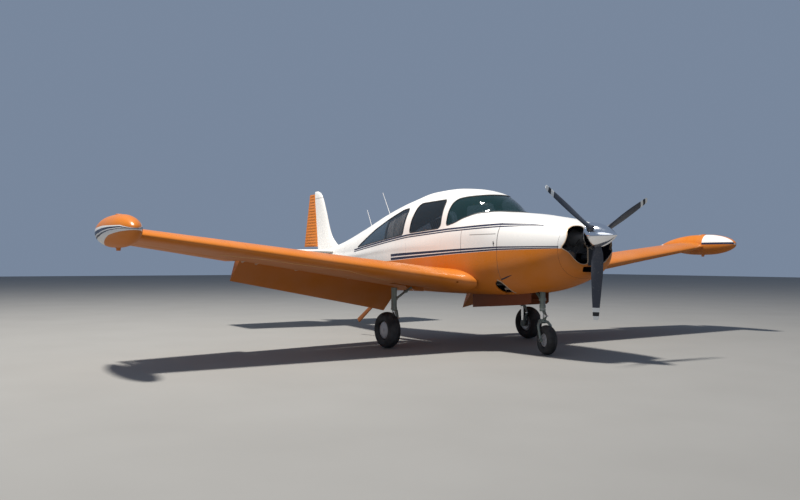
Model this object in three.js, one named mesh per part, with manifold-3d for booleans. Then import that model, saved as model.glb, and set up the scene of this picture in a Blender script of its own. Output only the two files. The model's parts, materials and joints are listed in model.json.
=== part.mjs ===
// A four-seat, low-wing, single-engine light aircraft with a tricycle undercarriage and wing-tip fuel tanks.
// Millimetres. +X points to the nose, +Y to port, +Z up. The origin is on the ground under the middle of
// the aircraft's outer box. The flaps hang lowered and the nose wheel is turned a little to starboard.
import * as THREE from 'three';
import { mergeVertices } from 'three/addons/utils/BufferGeometryUtils.js';
import Module from 'manifold-3d';

const wasm = await Module();
wasm.setup();

// Driving dimensions
const HALF_LENGTH = 4120;
const GAP = 0.4;                   // between neighbours that touch on the real aircraft
const MOVING_GAP = 9;              // between a control surface and what carries it
const SKIN = { cowl: 20, cabin: 30, tail: 10, glass: 8 };
const FIREWALL_X = 2600;
const CABIN_END_X = -1400;
// Where the upper and lower shells meet, [x, z] from tail to nose
const PAINT_LINE = [[-4500, 1058], [100, 1240], [1750, 1330], [2640, 1370], [4500, 1396]];

const WING = {
  leadX: 1991, leadZ: 870, sweep: Math.tan(THREE.MathUtils.degToRad(3)),
  rise: Math.tan(THREE.MathUtils.degToRad(7.2)),
  rootChord: 2190, tipChord: 1190, tipY: 5035,
  rootIncidence: 4.2, tipIncidence: 2.7, rootThickness: 0.15, tipThickness: 0.12, camber: 0.035,
};
const HINGE_SHARE = 0.7;           // share of the chord ahead of flap and aileron
const FLAP = { inY: 750, outY: 3400, lowered: 45 };
const AILERON = { inY: 3424, outY: 4900 };
const TANK = { y: 5162, z: 1543, noseX: 2265, tailX: 690, radius: 183 };

const MAIN_WHEEL = { x: 1124, y: 1340, radius: 255, width: 180, rim: 122 };
const NOSE_WHEEL = { radius: 195, width: 135, rim: 88 };
const NOSE_BAY = { backX: 1600, frontX: 2960, half: 150, doorFrontX: 2795, doorFoot: [565, 655] };
const STEER = { x: 2845, forward: 110, turned: -14 };    // steering axis, axle offset, turn at rest
const MAIN_LEG_Y = 1222;
const WHEEL_SIDES = 30;

const PROP = { x: 3812, z: 1544, radius: 1036, blades: 3, turned: -2.2 };
const SPINNER = { baseX: 3716, radius: 166 };

const ENGINE = { low: [2625, -400, 1130], high: [3430, 400, 1590] };

const TAIL = { z: 1416, halfSpan: 2010, leadX: -2560, tipLeadX: -2800, hingeX: -3560, rootEndX: -3985, tipEndX: -3850 };
const RUDDER = { footX: -3508, footZ: 1520, headX: -3675, headZ: 2570, endFootX: -4120, endHeadX: -3880 };

const PAINT = {
  white: { color: 0xf1efea, roughness: 0.3, metalness: 0 },
  orange: { color: 0xe07a12, roughness: 0.3, metalness: 0 },
  glass: { color: 0x9fb8bd, roughness: 0.05, metalness: 0 },
  dark: { color: 0x2a2b30, roughness: 0.6, metalness: 0 },
  rubber: { color: 0x1c1c1e, roughness: 0.85, metalness: 0 },
  alloy: { color: 0xb9bcc0, roughness: 0.35, metalness: 1 },
  strut: { color: 0x9aa695, roughness: 0.4, metalness: 0.2 },
  chrome: { color: 0xd8dde2, roughness: 0.12, metalness: 1 },
  blade: { color: 0x6f747b, roughness: 0.45, metalness: 0.4 },
  cast: { color: 0x77797c, roughness: 0.6, metalness: 0.7 },
  cloth: { color: 0x9b9891, roughness: 0.9, metalness: 0 },
  seat: { color: 0x8b6f52, roughness: 0.8, metalness: 0 },
};

const aircraft = new THREE.Group();

// Solids, joined and cut
function toSolid(geometry) {
  const bare = geometry.clone();
  bare.deleteAttribute('normal');
  bare.deleteAttribute('uv');
  const merged = mergeVertices(bare, 1e-3);
  const mesh = new wasm.Mesh({
    numProp: 3,
    vertProperties: new Float32Array(merged.attributes.position.array),
    triVerts: new Uint32Array(merged.index.array),
  });
  return new wasm.Manifold(mesh);
}

function toGeometry(solid) {
  const mesh = solid.getMesh();
  const geometry = new THREE.BufferGeometry();
  geometry.setAttribute('position', new THREE.BufferAttribute(new Float32Array(mesh.vertProperties), 3));
  geometry.setIndex(new THREE.BufferAttribute(new Uint32Array(mesh.triVerts), 1));
  geometry.computeVertexNormals();
  return geometry;
}

function join(...solids) {
  return solids.reduce((sum, next) => sum.add(next));
}

function addPart(name, solid, paint) {
  const mesh = new THREE.Mesh(toGeometry(solid), new THREE.MeshStandardMaterial(paint));
  mesh.name = name;
  aircraft.add(mesh);
  return mesh;
}

// A closed skin over rings of points, with a flat lid at each end
function loft(rings) {
  const count = rings[0].length;
  const positions = rings.flat().flatMap((p) => [p.x, p.y, p.z]);
  const index = [];
  for (let r = 0; r + 1 < rings.length; r++) {
    for (let i = 0; i < count; i++) {
      const a = r * count + i;
      const b = r * count + ((i + 1) % count);
      index.push(a, b, b + count, a, b + count, a + count);
    }
  }
  for (const [ring, start] of [[rings[0], 0], [rings.at(-1), (rings.length - 1) * count]]) {
    const middle = ring.reduce((sum, p) => sum.add(p), new THREE.Vector3()).divideScalar(count);
    const hub = positions.length / 3;
    positions.push(middle.x, middle.y, middle.z);
    for (let i = 0; i < count; i++) {
      const a = start + i;
      const b = start + ((i + 1) % count);
      if (start === 0) index.push(hub, b, a);
      else index.push(hub, a, b);
    }
  }
  const geometry = new THREE.BufferGeometry();
  geometry.setAttribute('position', new THREE.Float32BufferAttribute(positions, 3));
  geometry.setIndex(index);
  if (enclosedVolume(geometry) < 0) flipFaces(geometry);
  return toSolid(geometry);
}

function enclosedVolume(geometry) {
  const p = geometry.attributes.position;
  const corner = [0, 1, 2].map(() => new THREE.Vector3());
  let sum = 0;
  for (let i = 0; i < geometry.index.count; i += 3) {
    corner.forEach((c, k) => c.fromBufferAttribute(p, geometry.index.getX(i + k)));
    sum += corner[0].dot(corner[1].clone().cross(corner[2])) / 6;
  }
  return sum;
}

function flipFaces(geometry) {
  const index = geometry.index.array;
  for (let i = 0; i < index.length; i += 3) {
    [index[i + 1], index[i + 2]] = [index[i + 2], index[i + 1]];
  }
}

// Plain shapes
function box(low, high) {
  const size = high.map((h, i) => h - low[i]);
  const geometry = new THREE.BoxGeometry(...size);
  geometry.translate(...low.map((l, i) => l + size[i] / 2));
  return toSolid(geometry);
}

function rod(from, to, radius, sides = 16, endRadius = radius) {
  const a = new THREE.Vector3(...from);
  const b = new THREE.Vector3(...to);
  const way = b.clone().sub(a);
  const geometry = new THREE.CylinderGeometry(endRadius, radius, way.length(), sides);
  geometry.applyQuaternion(new THREE.Quaternion().setFromUnitVectors(new THREE.Vector3(0, 1, 0), way.normalize()));
  geometry.translate(...a.add(b).divideScalar(2).toArray());
  return toSolid(geometry);
}

// A profile of [distance along the axis, radius] turned round an axis through a point
function turned(profile, point, axis, sides) {
  const geometry = new THREE.LatheGeometry(profile.map(([along, radius]) => new THREE.Vector2(radius, along)), sides);
  geometry.applyQuaternion(new THREE.Quaternion().setFromUnitVectors(new THREE.Vector3(0, 1, 0), axis));
  geometry.translate(...point);
  geometry.setIndex(Array.from({ length: geometry.index.count }, (_, i) => geometry.index.getX(i)));
  if (enclosedVolume(geometry) < 0) flipFaces(geometry);
  return toSolid(geometry);
}

// An outline of [x, z] seen from the side, as thick as the stretch from lowY to highY
function sidePlate(outline, lowY, highY) {
  const shape = new THREE.Shape(outline.map(([x, z]) => new THREE.Vector2(x, z)));
  const geometry = new THREE.ExtrudeGeometry(shape, { depth: highY - lowY, bevelEnabled: false, curveSegments: 8 });
  geometry.rotateX(Math.PI / 2);
  geometry.translate(0, highY, 0);
  return toSolid(geometry);
}

// An outline of [y, z] seen from the front, as thick as the stretch from lowX to highX
function frontPlate(outline, lowX, highX) {
  const shape = new THREE.Shape(outline.map(([y, z]) => new THREE.Vector2(y, z)));
  const geometry = new THREE.ExtrudeGeometry(shape, { depth: highX - lowX, bevelEnabled: false });
  geometry.rotateY(Math.PI / 2);
  geometry.rotateX(Math.PI / 2);
  geometry.translate(lowX, 0, 0);
  return toSolid(geometry);
}

function shrunk(outline, share) {
  const middle = [0, 1].map((k) => outline.reduce((sum, p) => sum + p[k], 0) / outline.length);
  return outline.map((p) => p.map((v, k) => middle[k] + (v - middle[k]) * share));
}

const mirrored = (solid) => solid.mirror([0, 1, 0]);

// Fuselage: columns are x, top, bottom, half width, height of the widest point, upper and lower roundness
const BODY_STATIONS = [
  [3705, 1600, 1130, 300, 1385, 2.2, 2.2],
  [3688, 1655, 1075, 390, 1385, 2.3, 2.2],
  [3640, 1690, 1040, 440, 1385, 2.3, 2.3],
  [3560, 1722, 1000, 475, 1385, 2.3, 2.3],
  [3400, 1765, 935, 515, 1385, 2.4, 2.4],
  [3100, 1815, 850, 555, 1385, 2.5, 2.5],
  [2800, 1860, 800, 580, 1385, 2.6, 2.6],
  [2600, 1880, 780, 590, 1385, 2.7, 2.7],
  [2450, 1897, 770, 596, 1390, 2.9, 2.8],
  [2270, 1925, 765, 600, 1395, 3.2, 2.9],
  [2020, 1940, 758, 602, 1400, 3.3, 3.0],
  [1650, 1915, 752, 598, 1400, 3.3, 3.0],
  [1400, 1885, 750, 595, 1395, 3.2, 3.0],
  [1000, 1800, 750, 590, 1385, 3.0, 3.0],
  [500, 1750, 755, 583, 1380, 2.8, 3.0],
  [0, 1690, 775, 560, 1370, 2.6, 2.8],
  [-600, 1600, 830, 490, 1350, 2.4, 2.5],
  [-1400, 1490, 930, 385, 1320, 2.3, 2.3],
  [-2300, 1410, 1050, 255, 1290, 2.2, 2.2],
  [-3100, 1385, 1150, 150, 1290, 2.1, 2.1],
  [-3700, 1350, 1230, 60, 1290, 2, 2],
];

// Cabin top and spine, in the same columns: it rises out of the body at the windscreen's foot
const CABIN_STATIONS = [
  [2450, 1870, 1320, 130, 1450, 2, 2],
  [2400, 1930, 1300, 230, 1450, 2, 2],
  [2330, 1992, 1290, 320, 1450, 2, 2],
  [2250, 2050, 1280, 395, 1450, 2.1, 2],
  [2150, 2108, 1270, 455, 1450, 2.2, 2],
  [1900, 2210, 1260, 540, 1450, 2.5, 2],
  [1530, 2285, 1250, 570, 1450, 2.6, 2],
  [1130, 2315, 1250, 576, 1450, 2.6, 2],
  [720, 2303, 1250, 575, 1450, 2.6, 2],
  [270, 2235, 1240, 565, 1440, 2.5, 2],
  [-200, 2145, 1230, 530, 1420, 2.4, 2],
  [-700, 2035, 1210, 470, 1390, 2.2, 2],
  [-1340, 1855, 1180, 385, 1340, 2.1, 2],
  [-2280, 1610, 1150, 240, 1300, 2.1, 2],
  [-3000, 1470, 1150, 130, 1290, 2.1, 2],
  [-3450, 1390, 1150, 70, 1290, 2.1, 2],
];
const RING_POINTS = 24;

function stationAt(stations, x) {
  const rising = [...stations].reverse();
  const curve = new THREE.CubicInterpolant(rising.map((s) => s[0]), rising.flatMap((s) => s.slice(1)), 6);
  return Array.from(curve.evaluate(x));
}

function sectionRing(stations, x, inset, sectionX) {
  const [top, bottom, half, wide, upper, lower] = stationAt(stations, sectionX);
  const signedPower = (v, power) => Math.sign(v) * Math.abs(v) ** (2 / power);
  return Array.from({ length: RING_POINTS }, (_, i) => {
    const angle = (i / RING_POINTS) * 2 * Math.PI;
    const roundness = Math.sin(angle) >= 0 ? upper : lower;
    const height = Math.sin(angle) >= 0 ? top - wide : wide - bottom;
    const y = (half - inset) * signedPower(Math.cos(angle), roundness);
    const z = wide + (height - inset) * signedPower(Math.sin(angle), roundness);
    return new THREE.Vector3(x, y, z);
  });
}

function hullOf(stations, inset) {
  const last = stations.length - 1;
  return loft(stations.map(([x], i) => {
    const shift = (i === 0 ? -inset : 0) + (i === last ? inset : 0);
    return sectionRing(stations, x + shift, inset, x);
  }));
}

const fuselageHull = (inset) => hullOf(BODY_STATIONS, inset).add(hullOf(CABIN_STATIONS, inset));
const stretch = (lowX, highX) => box([lowX, -900, 500], [highX, 900, 2600]);

function belowPaintLine(shift) {
  const edge = PAINT_LINE.map(([x, z]) => [x, z + shift]);
  const [backX, frontX] = [edge[0][0], edge.at(-1)[0]];
  return sidePlate([[backX, 0], [frontX, 0], ...edge.reverse()], -900, 900);
}

// Window outlines, [x, z] seen from the side
const SIDE_WINDOW = [
  [520, 1655], [1280, 1700], [1308, 1730], [1330, 2090], [1298, 2132], [700, 2112], [628, 2065], [550, 1860],
];
const REAR_WINDOW = [
  [345, 1636], [-1330, 1468], [-1340, 1482], [-710, 1760], [-200, 1930], [170, 2042], [350, 2058], [390, 2010],
];
const WINDSCREEN = [
  [1452, 1728], [1650, 1772], [1780, 1825], [2020, 1890], [2280, 1912], [2440, 1902], [2475, 1905],
  [2475, 2400], [2250, 2165], [2000, 2168], [1700, 2152], [1560, 2128], [1490, 2075], [1455, 1950],
];
const DOOR = [[452, 1290], [1360, 1340], [1360, 1720], [1386, 2185], [572, 2185], [452, 1860]];
const DOOR_WINDOW_LOW_Y = 150;
const OUTSIDE_Y = 800;

function buildFuselage() {
  const outer = fuselageHull(0);
  const paintLow = belowPaintLine(-GAP / 2);
  const paintHigh = belowPaintLine(GAP / 2);

  const cowlShell = outer.subtract(fuselageHull(SKIN.cowl)).intersect(stretch(FIREWALL_X + GAP, 4000));
  const openCowl = cowlShell.subtract(noseOpenings()).subtract(bellyOpenings());
  addPart('cowl_upper', openCowl.subtract(paintHigh), PAINT.white);
  addPart('cowl_lower', openCowl.intersect(paintLow), PAINT.orange);
  const wallSpace = fuselageHull(SKIN.cabin + GAP);
  addPart('firewall', wallSpace.intersect(stretch(FIREWALL_X - 12, FIREWALL_X)).subtract(bellyOpenings()), PAINT.alloy);

  const cabinShell = outer.subtract(fuselageHull(SKIN.cabin)).intersect(stretch(CABIN_END_X, FIREWALL_X)).subtract(bellyOpenings());
  const sideCut = (outline) => sidePlate(outline, -OUTSIDE_Y, OUTSIDE_Y);
  const glazed = cabinShell.subtract(sideCut(SIDE_WINDOW)).subtract(sideCut(REAR_WINDOW));
  const open = glazed.subtract(sideCut(WINDSCREEN));
  const doorCut = sidePlate(DOOR, DOOR_WINDOW_LOW_Y, OUTSIDE_Y);
  const doorRoom = join(doorCut, sidePlate(shrunk(DOOR, 1.014), DOOR_WINDOW_LOW_Y - 5, OUTSIDE_Y));
  const withoutDoor = open.subtract(doorRoom);
  addPart('cabin_upper', withoutDoor.subtract(paintHigh), PAINT.white);
  addPart('cabin_lower', withoutDoor.intersect(paintLow), PAINT.orange);
  addPart('cabin_door', open.intersect(doorCut), PAINT.white);

  const pane = fuselageHull(SKIN.glass / 2).subtract(fuselageHull(SKIN.glass * 1.5));
  const paneIn = (outline, lowY, highY) => pane.intersect(sidePlate(shrunk(outline, 0.997), lowY, highY));
  addPart('windscreen', paneIn(WINDSCREEN, -OUTSIDE_Y, OUTSIDE_Y), PAINT.glass);
  addPart('side_window_right', paneIn(SIDE_WINDOW, -OUTSIDE_Y, 0), PAINT.glass);
  addPart('door_window', paneIn(SIDE_WINDOW, 0, OUTSIDE_Y), PAINT.glass);
  addPart('rear_window_right', paneIn(REAR_WINDOW, -OUTSIDE_Y, 0), PAINT.glass);
  addPart('rear_window_left', paneIn(REAR_WINDOW, 0, OUTSIDE_Y), PAINT.glass);

  const tailShell = outer.subtract(fuselageHull(SKIN.tail)).intersect(stretch(-4000, CABIN_END_X - GAP));
  addPart('tailcone', tailShell.subtract(stabilizer(GAP)), PAINT.white);
}

// The nose wheel's bay under the engine and the cabin floor, and on each side a hole at the firewall's
// foot, where the cooling air and the exhaust leave
function bellyOpenings() {
  const bay = box([NOSE_BAY.backX, -NOSE_BAY.half, 600], [NOSE_BAY.frontX, NOSE_BAY.half, 904]);
  const outlet = rod([2520, 250, 850], [2520, 900, 905], 96, 16);
  return join(bay, outlet, mirrored(outlet));
}

// Cheek inlets each side of the spinner, and the chin intake
function noseOpenings() {
  const cheek = [
    [120, 1185], [200, 1195], [285, 1243], [370, 1325], [456, 1390], [425, 1450],
    [392, 1520], [350, 1615], [240, 1672], [120, 1668],
  ];
  const inlet = frontPlate(cheek, 3500, 3900);
  const chin = box([3500, -150, 1090], [3900, 150, 1165]);
  return join(inlet, mirrored(inlet), chin);
}

// Wing
function airfoil(share, thickness, camber) {
  const root = 0.2969 * Math.sqrt(share) - 0.126 * share - 0.3516 * share ** 2;
  const half = 5 * thickness * (root + 0.2843 * share ** 3 - 0.1036 * share ** 4);
  const peak = 0.4;
  const line = share < peak
    ? (camber / peak ** 2) * (2 * peak * share - share ** 2)
    : (camber / (1 - peak) ** 2) * (1 - 2 * peak + 2 * peak * share - share ** 2);
  return { half, line };
}

// The wing's section at a distance out from the centre line: leading edge, chord, turn and thickness
function wingAt(y) {
  const t = y / WING.tipY;
  const mix = (root, tip) => THREE.MathUtils.lerp(root, tip, t);
  return {
    x: WING.leadX - WING.sweep * y,
    z: WING.leadZ + WING.rise * y,
    chord: mix(WING.rootChord, WING.tipChord),
    turn: THREE.MathUtils.degToRad(mix(WING.rootIncidence, WING.tipIncidence)),
    thickness: mix(WING.rootThickness, WING.tipThickness),
    y,
  };
}

function onSection(s, along, up) {
  const x = s.x - along * Math.cos(s.turn) - up * Math.sin(s.turn) * -1;
  const z = s.z - along * Math.sin(s.turn) + up * Math.cos(s.turn);
  return new THREE.Vector3(x, s.y, z);
}

const CHORD_SHARES = [0, 0.008, 0.03, 0.07, 0.14, 0.25, 0.4, 0.55, HINGE_SHARE, 1];
function airfoilRing(s, camber = WING.camber, grow = 0) {
  const upper = CHORD_SHARES.map((share) => {
    const { half, line } = airfoil(share, s.thickness, camber);
    return onSection(s, share * s.chord, (line + half) * s.chord + grow);
  });
  const lower = CHORD_SHARES.slice(1, -1).reverse().map((share) => {
    const { half, line } = airfoil(share, s.thickness, camber);
    return onSection(s, share * s.chord, (line - half) * s.chord - grow);
  });
  return [...upper, ...lower];
}

// The leading edge runs forward into a rounded glove where it meets the body
const GLOVE = [[540, 175], [620, 145], [720, 80], [850, 28], [980, 0]];   // distance out, length added in front
function wingBlank() {
  const rings = GLOVE.map(([y, extra]) => {
    const s = wingAt(y);
    return airfoilRing({ ...s, x: s.x + extra, z: s.z - extra * 0.06, chord: s.chord + extra });
  });
  rings.push(airfoilRing(wingAt(2600)), airfoilRing(wingAt(WING.tipY)));
  return loft(rings);
}

// The nose of a flap or aileron is round, about a point on its hinge line
function hingeNose(y) {
  const s = wingAt(y);
  const { half, line } = airfoil(HINGE_SHARE, s.thickness, WING.camber);
  const radius = half * s.chord;
  return { s, radius, centre: onSection(s, HINGE_SHARE * s.chord + radius, line * s.chord) };
}

function surfaceRing(y) {
  const { s, radius, centre } = hingeNose(y);
  const tail = onSection(s, s.chord, 0);
  const arc = Array.from({ length: 9 }, (_, i) => {
    const angle = Math.PI / 2 + (i / 8) * Math.PI;
    const turnedAngle = angle + s.turn;
    return new THREE.Vector3(centre.x - Math.cos(turnedAngle) * radius, y, centre.z + Math.sin(turnedAngle) * radius);
  });
  return [...arc, tail.clone().setZ(tail.z - 2), tail.clone().setZ(tail.z + 2)];
}

function hingeLine(range) {
  const from = hingeNose(range.inY).centre;
  const to = hingeNose(range.outY).centre;
  return { from, way: to.clone().sub(from).normalize() };
}

function turnedAbout(solid, from, way, degrees) {
  const matrix = new THREE.Matrix4().makeTranslation(from)
    .multiply(new THREE.Matrix4().makeRotationAxis(way, THREE.MathUtils.degToRad(degrees)))
    .multiply(new THREE.Matrix4().makeTranslation(from.clone().negate()));
  return solid.transform(matrix.elements);
}

function roomBehindHinge(range) {
  const ring = (y) => {
    const s = wingAt(y);
    const start = HINGE_SHARE * s.chord - MOVING_GAP;
    return [[start, -400], [start, 400], [s.chord + 300, 400], [s.chord + 300, -400]].map(([a, u]) => onSection(s, a, u));
  };
  return loft([ring(range.inY - 2 * MOVING_GAP), ring(range.outY + 2 * MOVING_GAP)]);
}

function buildWing(side, name) {
  const onSide = (solid) => (side > 0 ? solid : mirrored(solid));
  const well = join(
    rod([MAIN_WHEEL.x, 690, 600], [MAIN_WHEEL.x, 690, 950], 285, 24),
    box([MAIN_WHEEL.x - 75, 690, 600], [MAIN_WHEEL.x + 75, MAIN_LEG_Y + 60, 950]),
  );
  const rooms = join(tipTank(GAP), well, roomBehindHinge(FLAP), roomBehindHinge(AILERON));
  addPart(`wing_${name}`, onSide(wingBlank().subtract(rooms)).subtract(fuselageHull(-GAP)), PAINT.orange);

  const flapUp = loft([surfaceRing(FLAP.inY), surfaceRing(FLAP.outY)]);
  const hinge = hingeLine(FLAP);
  addPart(`flap_${name}`, onSide(turnedAbout(flapUp, hinge.from, hinge.way, -FLAP.lowered)), PAINT.orange);
  const aileron = loft([surfaceRing(AILERON.inY), surfaceRing(AILERON.outY)]);
  addPart(`aileron_${name}`, onSide(aileron), PAINT.orange);
  addPart(`tip_tank_${name}`, onSide(tipTank(0)), PAINT.orange);
}

function tipTank(grow) {
  const length = TANK.noseX - TANK.tailX;
  const shape = [[0, 0], [0.02, 0.3], [0.07, 0.55], [0.16, 0.8], [0.28, 0.96], [0.4, 1], [0.55, 0.97], [0.7, 0.82], [0.85, 0.53], [0.95, 0.22], [1, 0]];
  const profile = shape.map(([share, width]) => [TANK.noseX - share * length, width * (TANK.radius + grow)]);
  return turned(profile, [0, TANK.y, TANK.z], new THREE.Vector3(1, 0, 0), 28);
}

// Tail
function stabilizer(grow = 0) {
  const half = (y) => {
    const t = Math.abs(y) / TAIL.halfSpan;
    const x = THREE.MathUtils.lerp(TAIL.leadX, TAIL.tipLeadX, t);
    const depth = THREE.MathUtils.lerp(38, 24, t) + grow;
    const front = x + grow;
    const back = TAIL.hingeX + MOVING_GAP - grow;
    const at = (share, up) => new THREE.Vector3(front + (back - front) * share, y, TAIL.z + depth * up);
    const upper = [[0, 0], [0.02, 0.42], [0.08, 0.75], [0.3, 1], [0.65, 0.9], [1, 0.62]];
    const lower = upper.slice(1).reverse().map(([share, up]) => [share, -up]);
    return [...upper, ...lower].map(([share, up]) => at(share, up));
  };
  return loft([half(-TAIL.halfSpan), half(0), half(TAIL.halfSpan)]);
}

// Each elevator's inner end is cut back aslant, which leaves the rudder room to swing
function elevatorHalf(side) {
  const ring = (inner, t) => {
    const end = THREE.MathUtils.lerp(TAIL.rootEndX, TAIL.tipEndX, t);
    const radius = THREE.MathUtils.lerp(23, 14, t);
    const arc = Array.from({ length: 7 }, (_, i) => {
      const angle = Math.PI / 2 - (i / 6) * Math.PI;
      return [TAIL.hingeX - radius + Math.cos(angle) * radius, TAIL.z + Math.sin(angle) * radius];
    });
    const points = [...arc, [end, TAIL.z - 2], [end, TAIL.z + 2]];
    return points.map(([x, z]) => {
      const y = inner ? 95 + (TAIL.hingeX - x) * 0.6 : TAIL.halfSpan;
      return new THREE.Vector3(x, side * Math.max(y, 95), z);
    });
  };
  return loft([ring(true, 0), ring(false, 1)]);
}

function finRing(z, frontX, backX, width) {
  const shares = [[0, 0], [0.03, 0.45], [0.12, 0.8], [0.35, 1], [0.7, 0.85], [1, 0.6]];
  const port = shares.map(([share, out]) => new THREE.Vector3(frontX + (backX - frontX) * share, out * width, z));
  const starboard = shares.slice(1).reverse()
    .map(([share, out]) => new THREE.Vector3(frontX + (backX - frontX) * share, -out * width, z));
  return [...port, ...starboard];
}

const rudderAxisX = (z) => THREE.MathUtils.mapLinear(z, RUDDER.footZ, RUDDER.headZ, RUDDER.footX, RUDDER.headX);
const rudderEndX = (z) => THREE.MathUtils.mapLinear(z, RUDDER.footZ, RUDDER.headZ, RUDDER.endFootX, RUDDER.endHeadX);

function buildTail() {
  const bodyRoom = fuselageHull(-GAP);
  addPart('stabilizer', stabilizer(), PAINT.white);

  const torqueTube = rod([TAIL.hingeX - 23, -200, TAIL.z], [TAIL.hingeX - 23, 200, TAIL.z], 16, 10);
  addPart('elevator', join(elevatorHalf(1), elevatorHalf(-1), torqueTube), PAINT.white);

  // Columns: height, leading edge, half width
  const fin = [[1430, -2450, 50], [1540, -2720, 50], [1620, -2840, 47], [1700, -2935, 44], [2200, -3180, 34],
    [2480, -3325, 28], [2580, -3420, 20], [2620, -3530, 8]];
  const finRings = fin.map(([z, lead, width]) => finRing(z, lead, rudderAxisX(z) + 22 + MOVING_GAP, width));
  addPart('fin', loft(finRings).subtract(bodyRoom).subtract(stabilizer(GAP)), PAINT.white);
  addPart('rudder', rudder(), PAINT.orange);
}

// Pressed beads run across the rudder's skin, one above the other
function rudder() {
  const beads = 18;
  const pitch = (RUDDER.headZ - RUDDER.footZ) / beads;
  const rings = [];
  for (let i = 0; i <= beads * 2; i++) {
    const z = RUDDER.footZ + (i * pitch) / 2;
    const nose = THREE.MathUtils.mapLinear(z, RUDDER.footZ, RUDDER.headZ, 24, 16);
    const bead = i % 2 ? 1 : 0.62;
    const axis = rudderAxisX(z);
    const end = rudderEndX(z);
    const arc = Array.from({ length: 5 }, (_, k) => {
      const angle = Math.PI / 2 - (k / 4) * Math.PI;
      return new THREE.Vector3(axis - 2 + Math.cos(angle) * nose, Math.sin(angle) * nose, z);
    });
    const middle = THREE.MathUtils.lerp(axis, end, 0.3);
    const port = new THREE.Vector3(middle, nose * bead, z);
    rings.push([...arc, port.clone().setY(-port.y), new THREE.Vector3(end, -2, z), new THREE.Vector3(end, 2, z), port]);
  }
  return loft(rings);
}

// Power plant and propeller
function buildNose() {
  addPart('engine_block', box(ENGINE.low, ENGINE.high), PAINT.cast);
  const pipe = (side) => rod([2790, side * 190, 910], [2520, side * 366, 863], 24, 12);
  addPart('exhaust_left', pipe(1), PAINT.alloy);
  addPart('exhaust_right', pipe(-1), PAINT.alloy);

  const length = HALF_LENGTH - SPINNER.baseX;
  const curve = Array.from({ length: 9 }, (_, i) => {
    const t = i / 8;
    return [SPINNER.baseX + t * length, SPINNER.radius * (1 - t ** 1.9)];
  });
  const cone = turned([[SPINNER.baseX, 0], ...curve], [0, 0, PROP.z], new THREE.Vector3(1, 0, 0), 24);
  const blades = Array.from({ length: PROP.blades }, (_, i) => blade(180 + PROP.turned + i * (360 / PROP.blades), 0));
  const sockets = Array.from({ length: PROP.blades }, (_, i) => blade(180 + PROP.turned + i * (360 / PROP.blades), 1));
  addPart('spinner', cone.subtract(join(...sockets)), PAINT.chrome);
  blades.forEach((solid, i) => addPart(`blade_${i + 1}`, solid, PAINT.blade));
}

// Blade sections. Columns: radius, chord, thickness, angle to the plane of rotation
const BLADE = [
  [70, 78, 78, 45], [190, 80, 74, 45], [290, 104, 46, 43], [420, 138, 27, 37], [600, 150, 18, 30],
  [820, 142, 12, 24], [980, 118, 8, 21], [1022, 92, 6, 20], [PROP.radius, 62, 4, 20],
];
function blade(degrees, grow) {
  const rings = BLADE.map(([radius, chord, thickness, angle], row) => {
    const pitch = THREE.MathUtils.degToRad(angle);
    const out = row === 0 ? radius - grow : radius;
    return Array.from({ length: 14 }, (_, i) => {
      const a = (i / 14) * 2 * Math.PI;
      const along = Math.cos(a) * (chord / 2 + grow);
      const across = Math.sin(a) * (thickness / 2 + grow);
      const x = along * Math.sin(pitch) + across * Math.cos(pitch);
      const y = -along * Math.cos(pitch) + across * Math.sin(pitch);
      return new THREE.Vector3(x, y, out);
    });
  });
  const turn = new THREE.Matrix4().makeTranslation(PROP.x, 0, PROP.z)
    .multiply(new THREE.Matrix4().makeRotationX(THREE.MathUtils.degToRad(degrees)));
  return loft(rings.map((ring) => ring.map((p) => p.applyMatrix4(turn))));
}

// Undercarriage
function wheelProfile(wheel) {
  const half = wheel.width / 2;
  const points = [[-half * 0.62, wheel.rim], [-half * 0.9, wheel.rim + 14]];
  for (let i = 0; i <= 8; i++) {
    const angle = Math.PI - (i / 8) * Math.PI;
    const middle = wheel.rim + (wheel.radius - wheel.rim) * 0.42;
    points.push([Math.cos(angle) * half, middle + Math.sin(angle) ** 0.8 * (wheel.radius - middle)]);
  }
  points.push([half * 0.9, wheel.rim + 14], [half * 0.62, wheel.rim], [-half * 0.62, wheel.rim]);
  return points;
}

function rimProfile(wheel, hubHalf) {
  const half = wheel.width / 2;
  const r = wheel.rim - GAP;
  return [
    [-hubHalf, 0], [-hubHalf, 34], [-half * 0.45, 40], [-half * 0.45, r * 0.72], [-half * 0.62, r * 0.8],
    [-half * 0.62, r], [half * 0.62, r], [half * 0.62, r * 0.8], [half * 0.42, r * 0.6], [half * 0.5, 30], [half * 0.5, 0],
  ];
}

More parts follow.
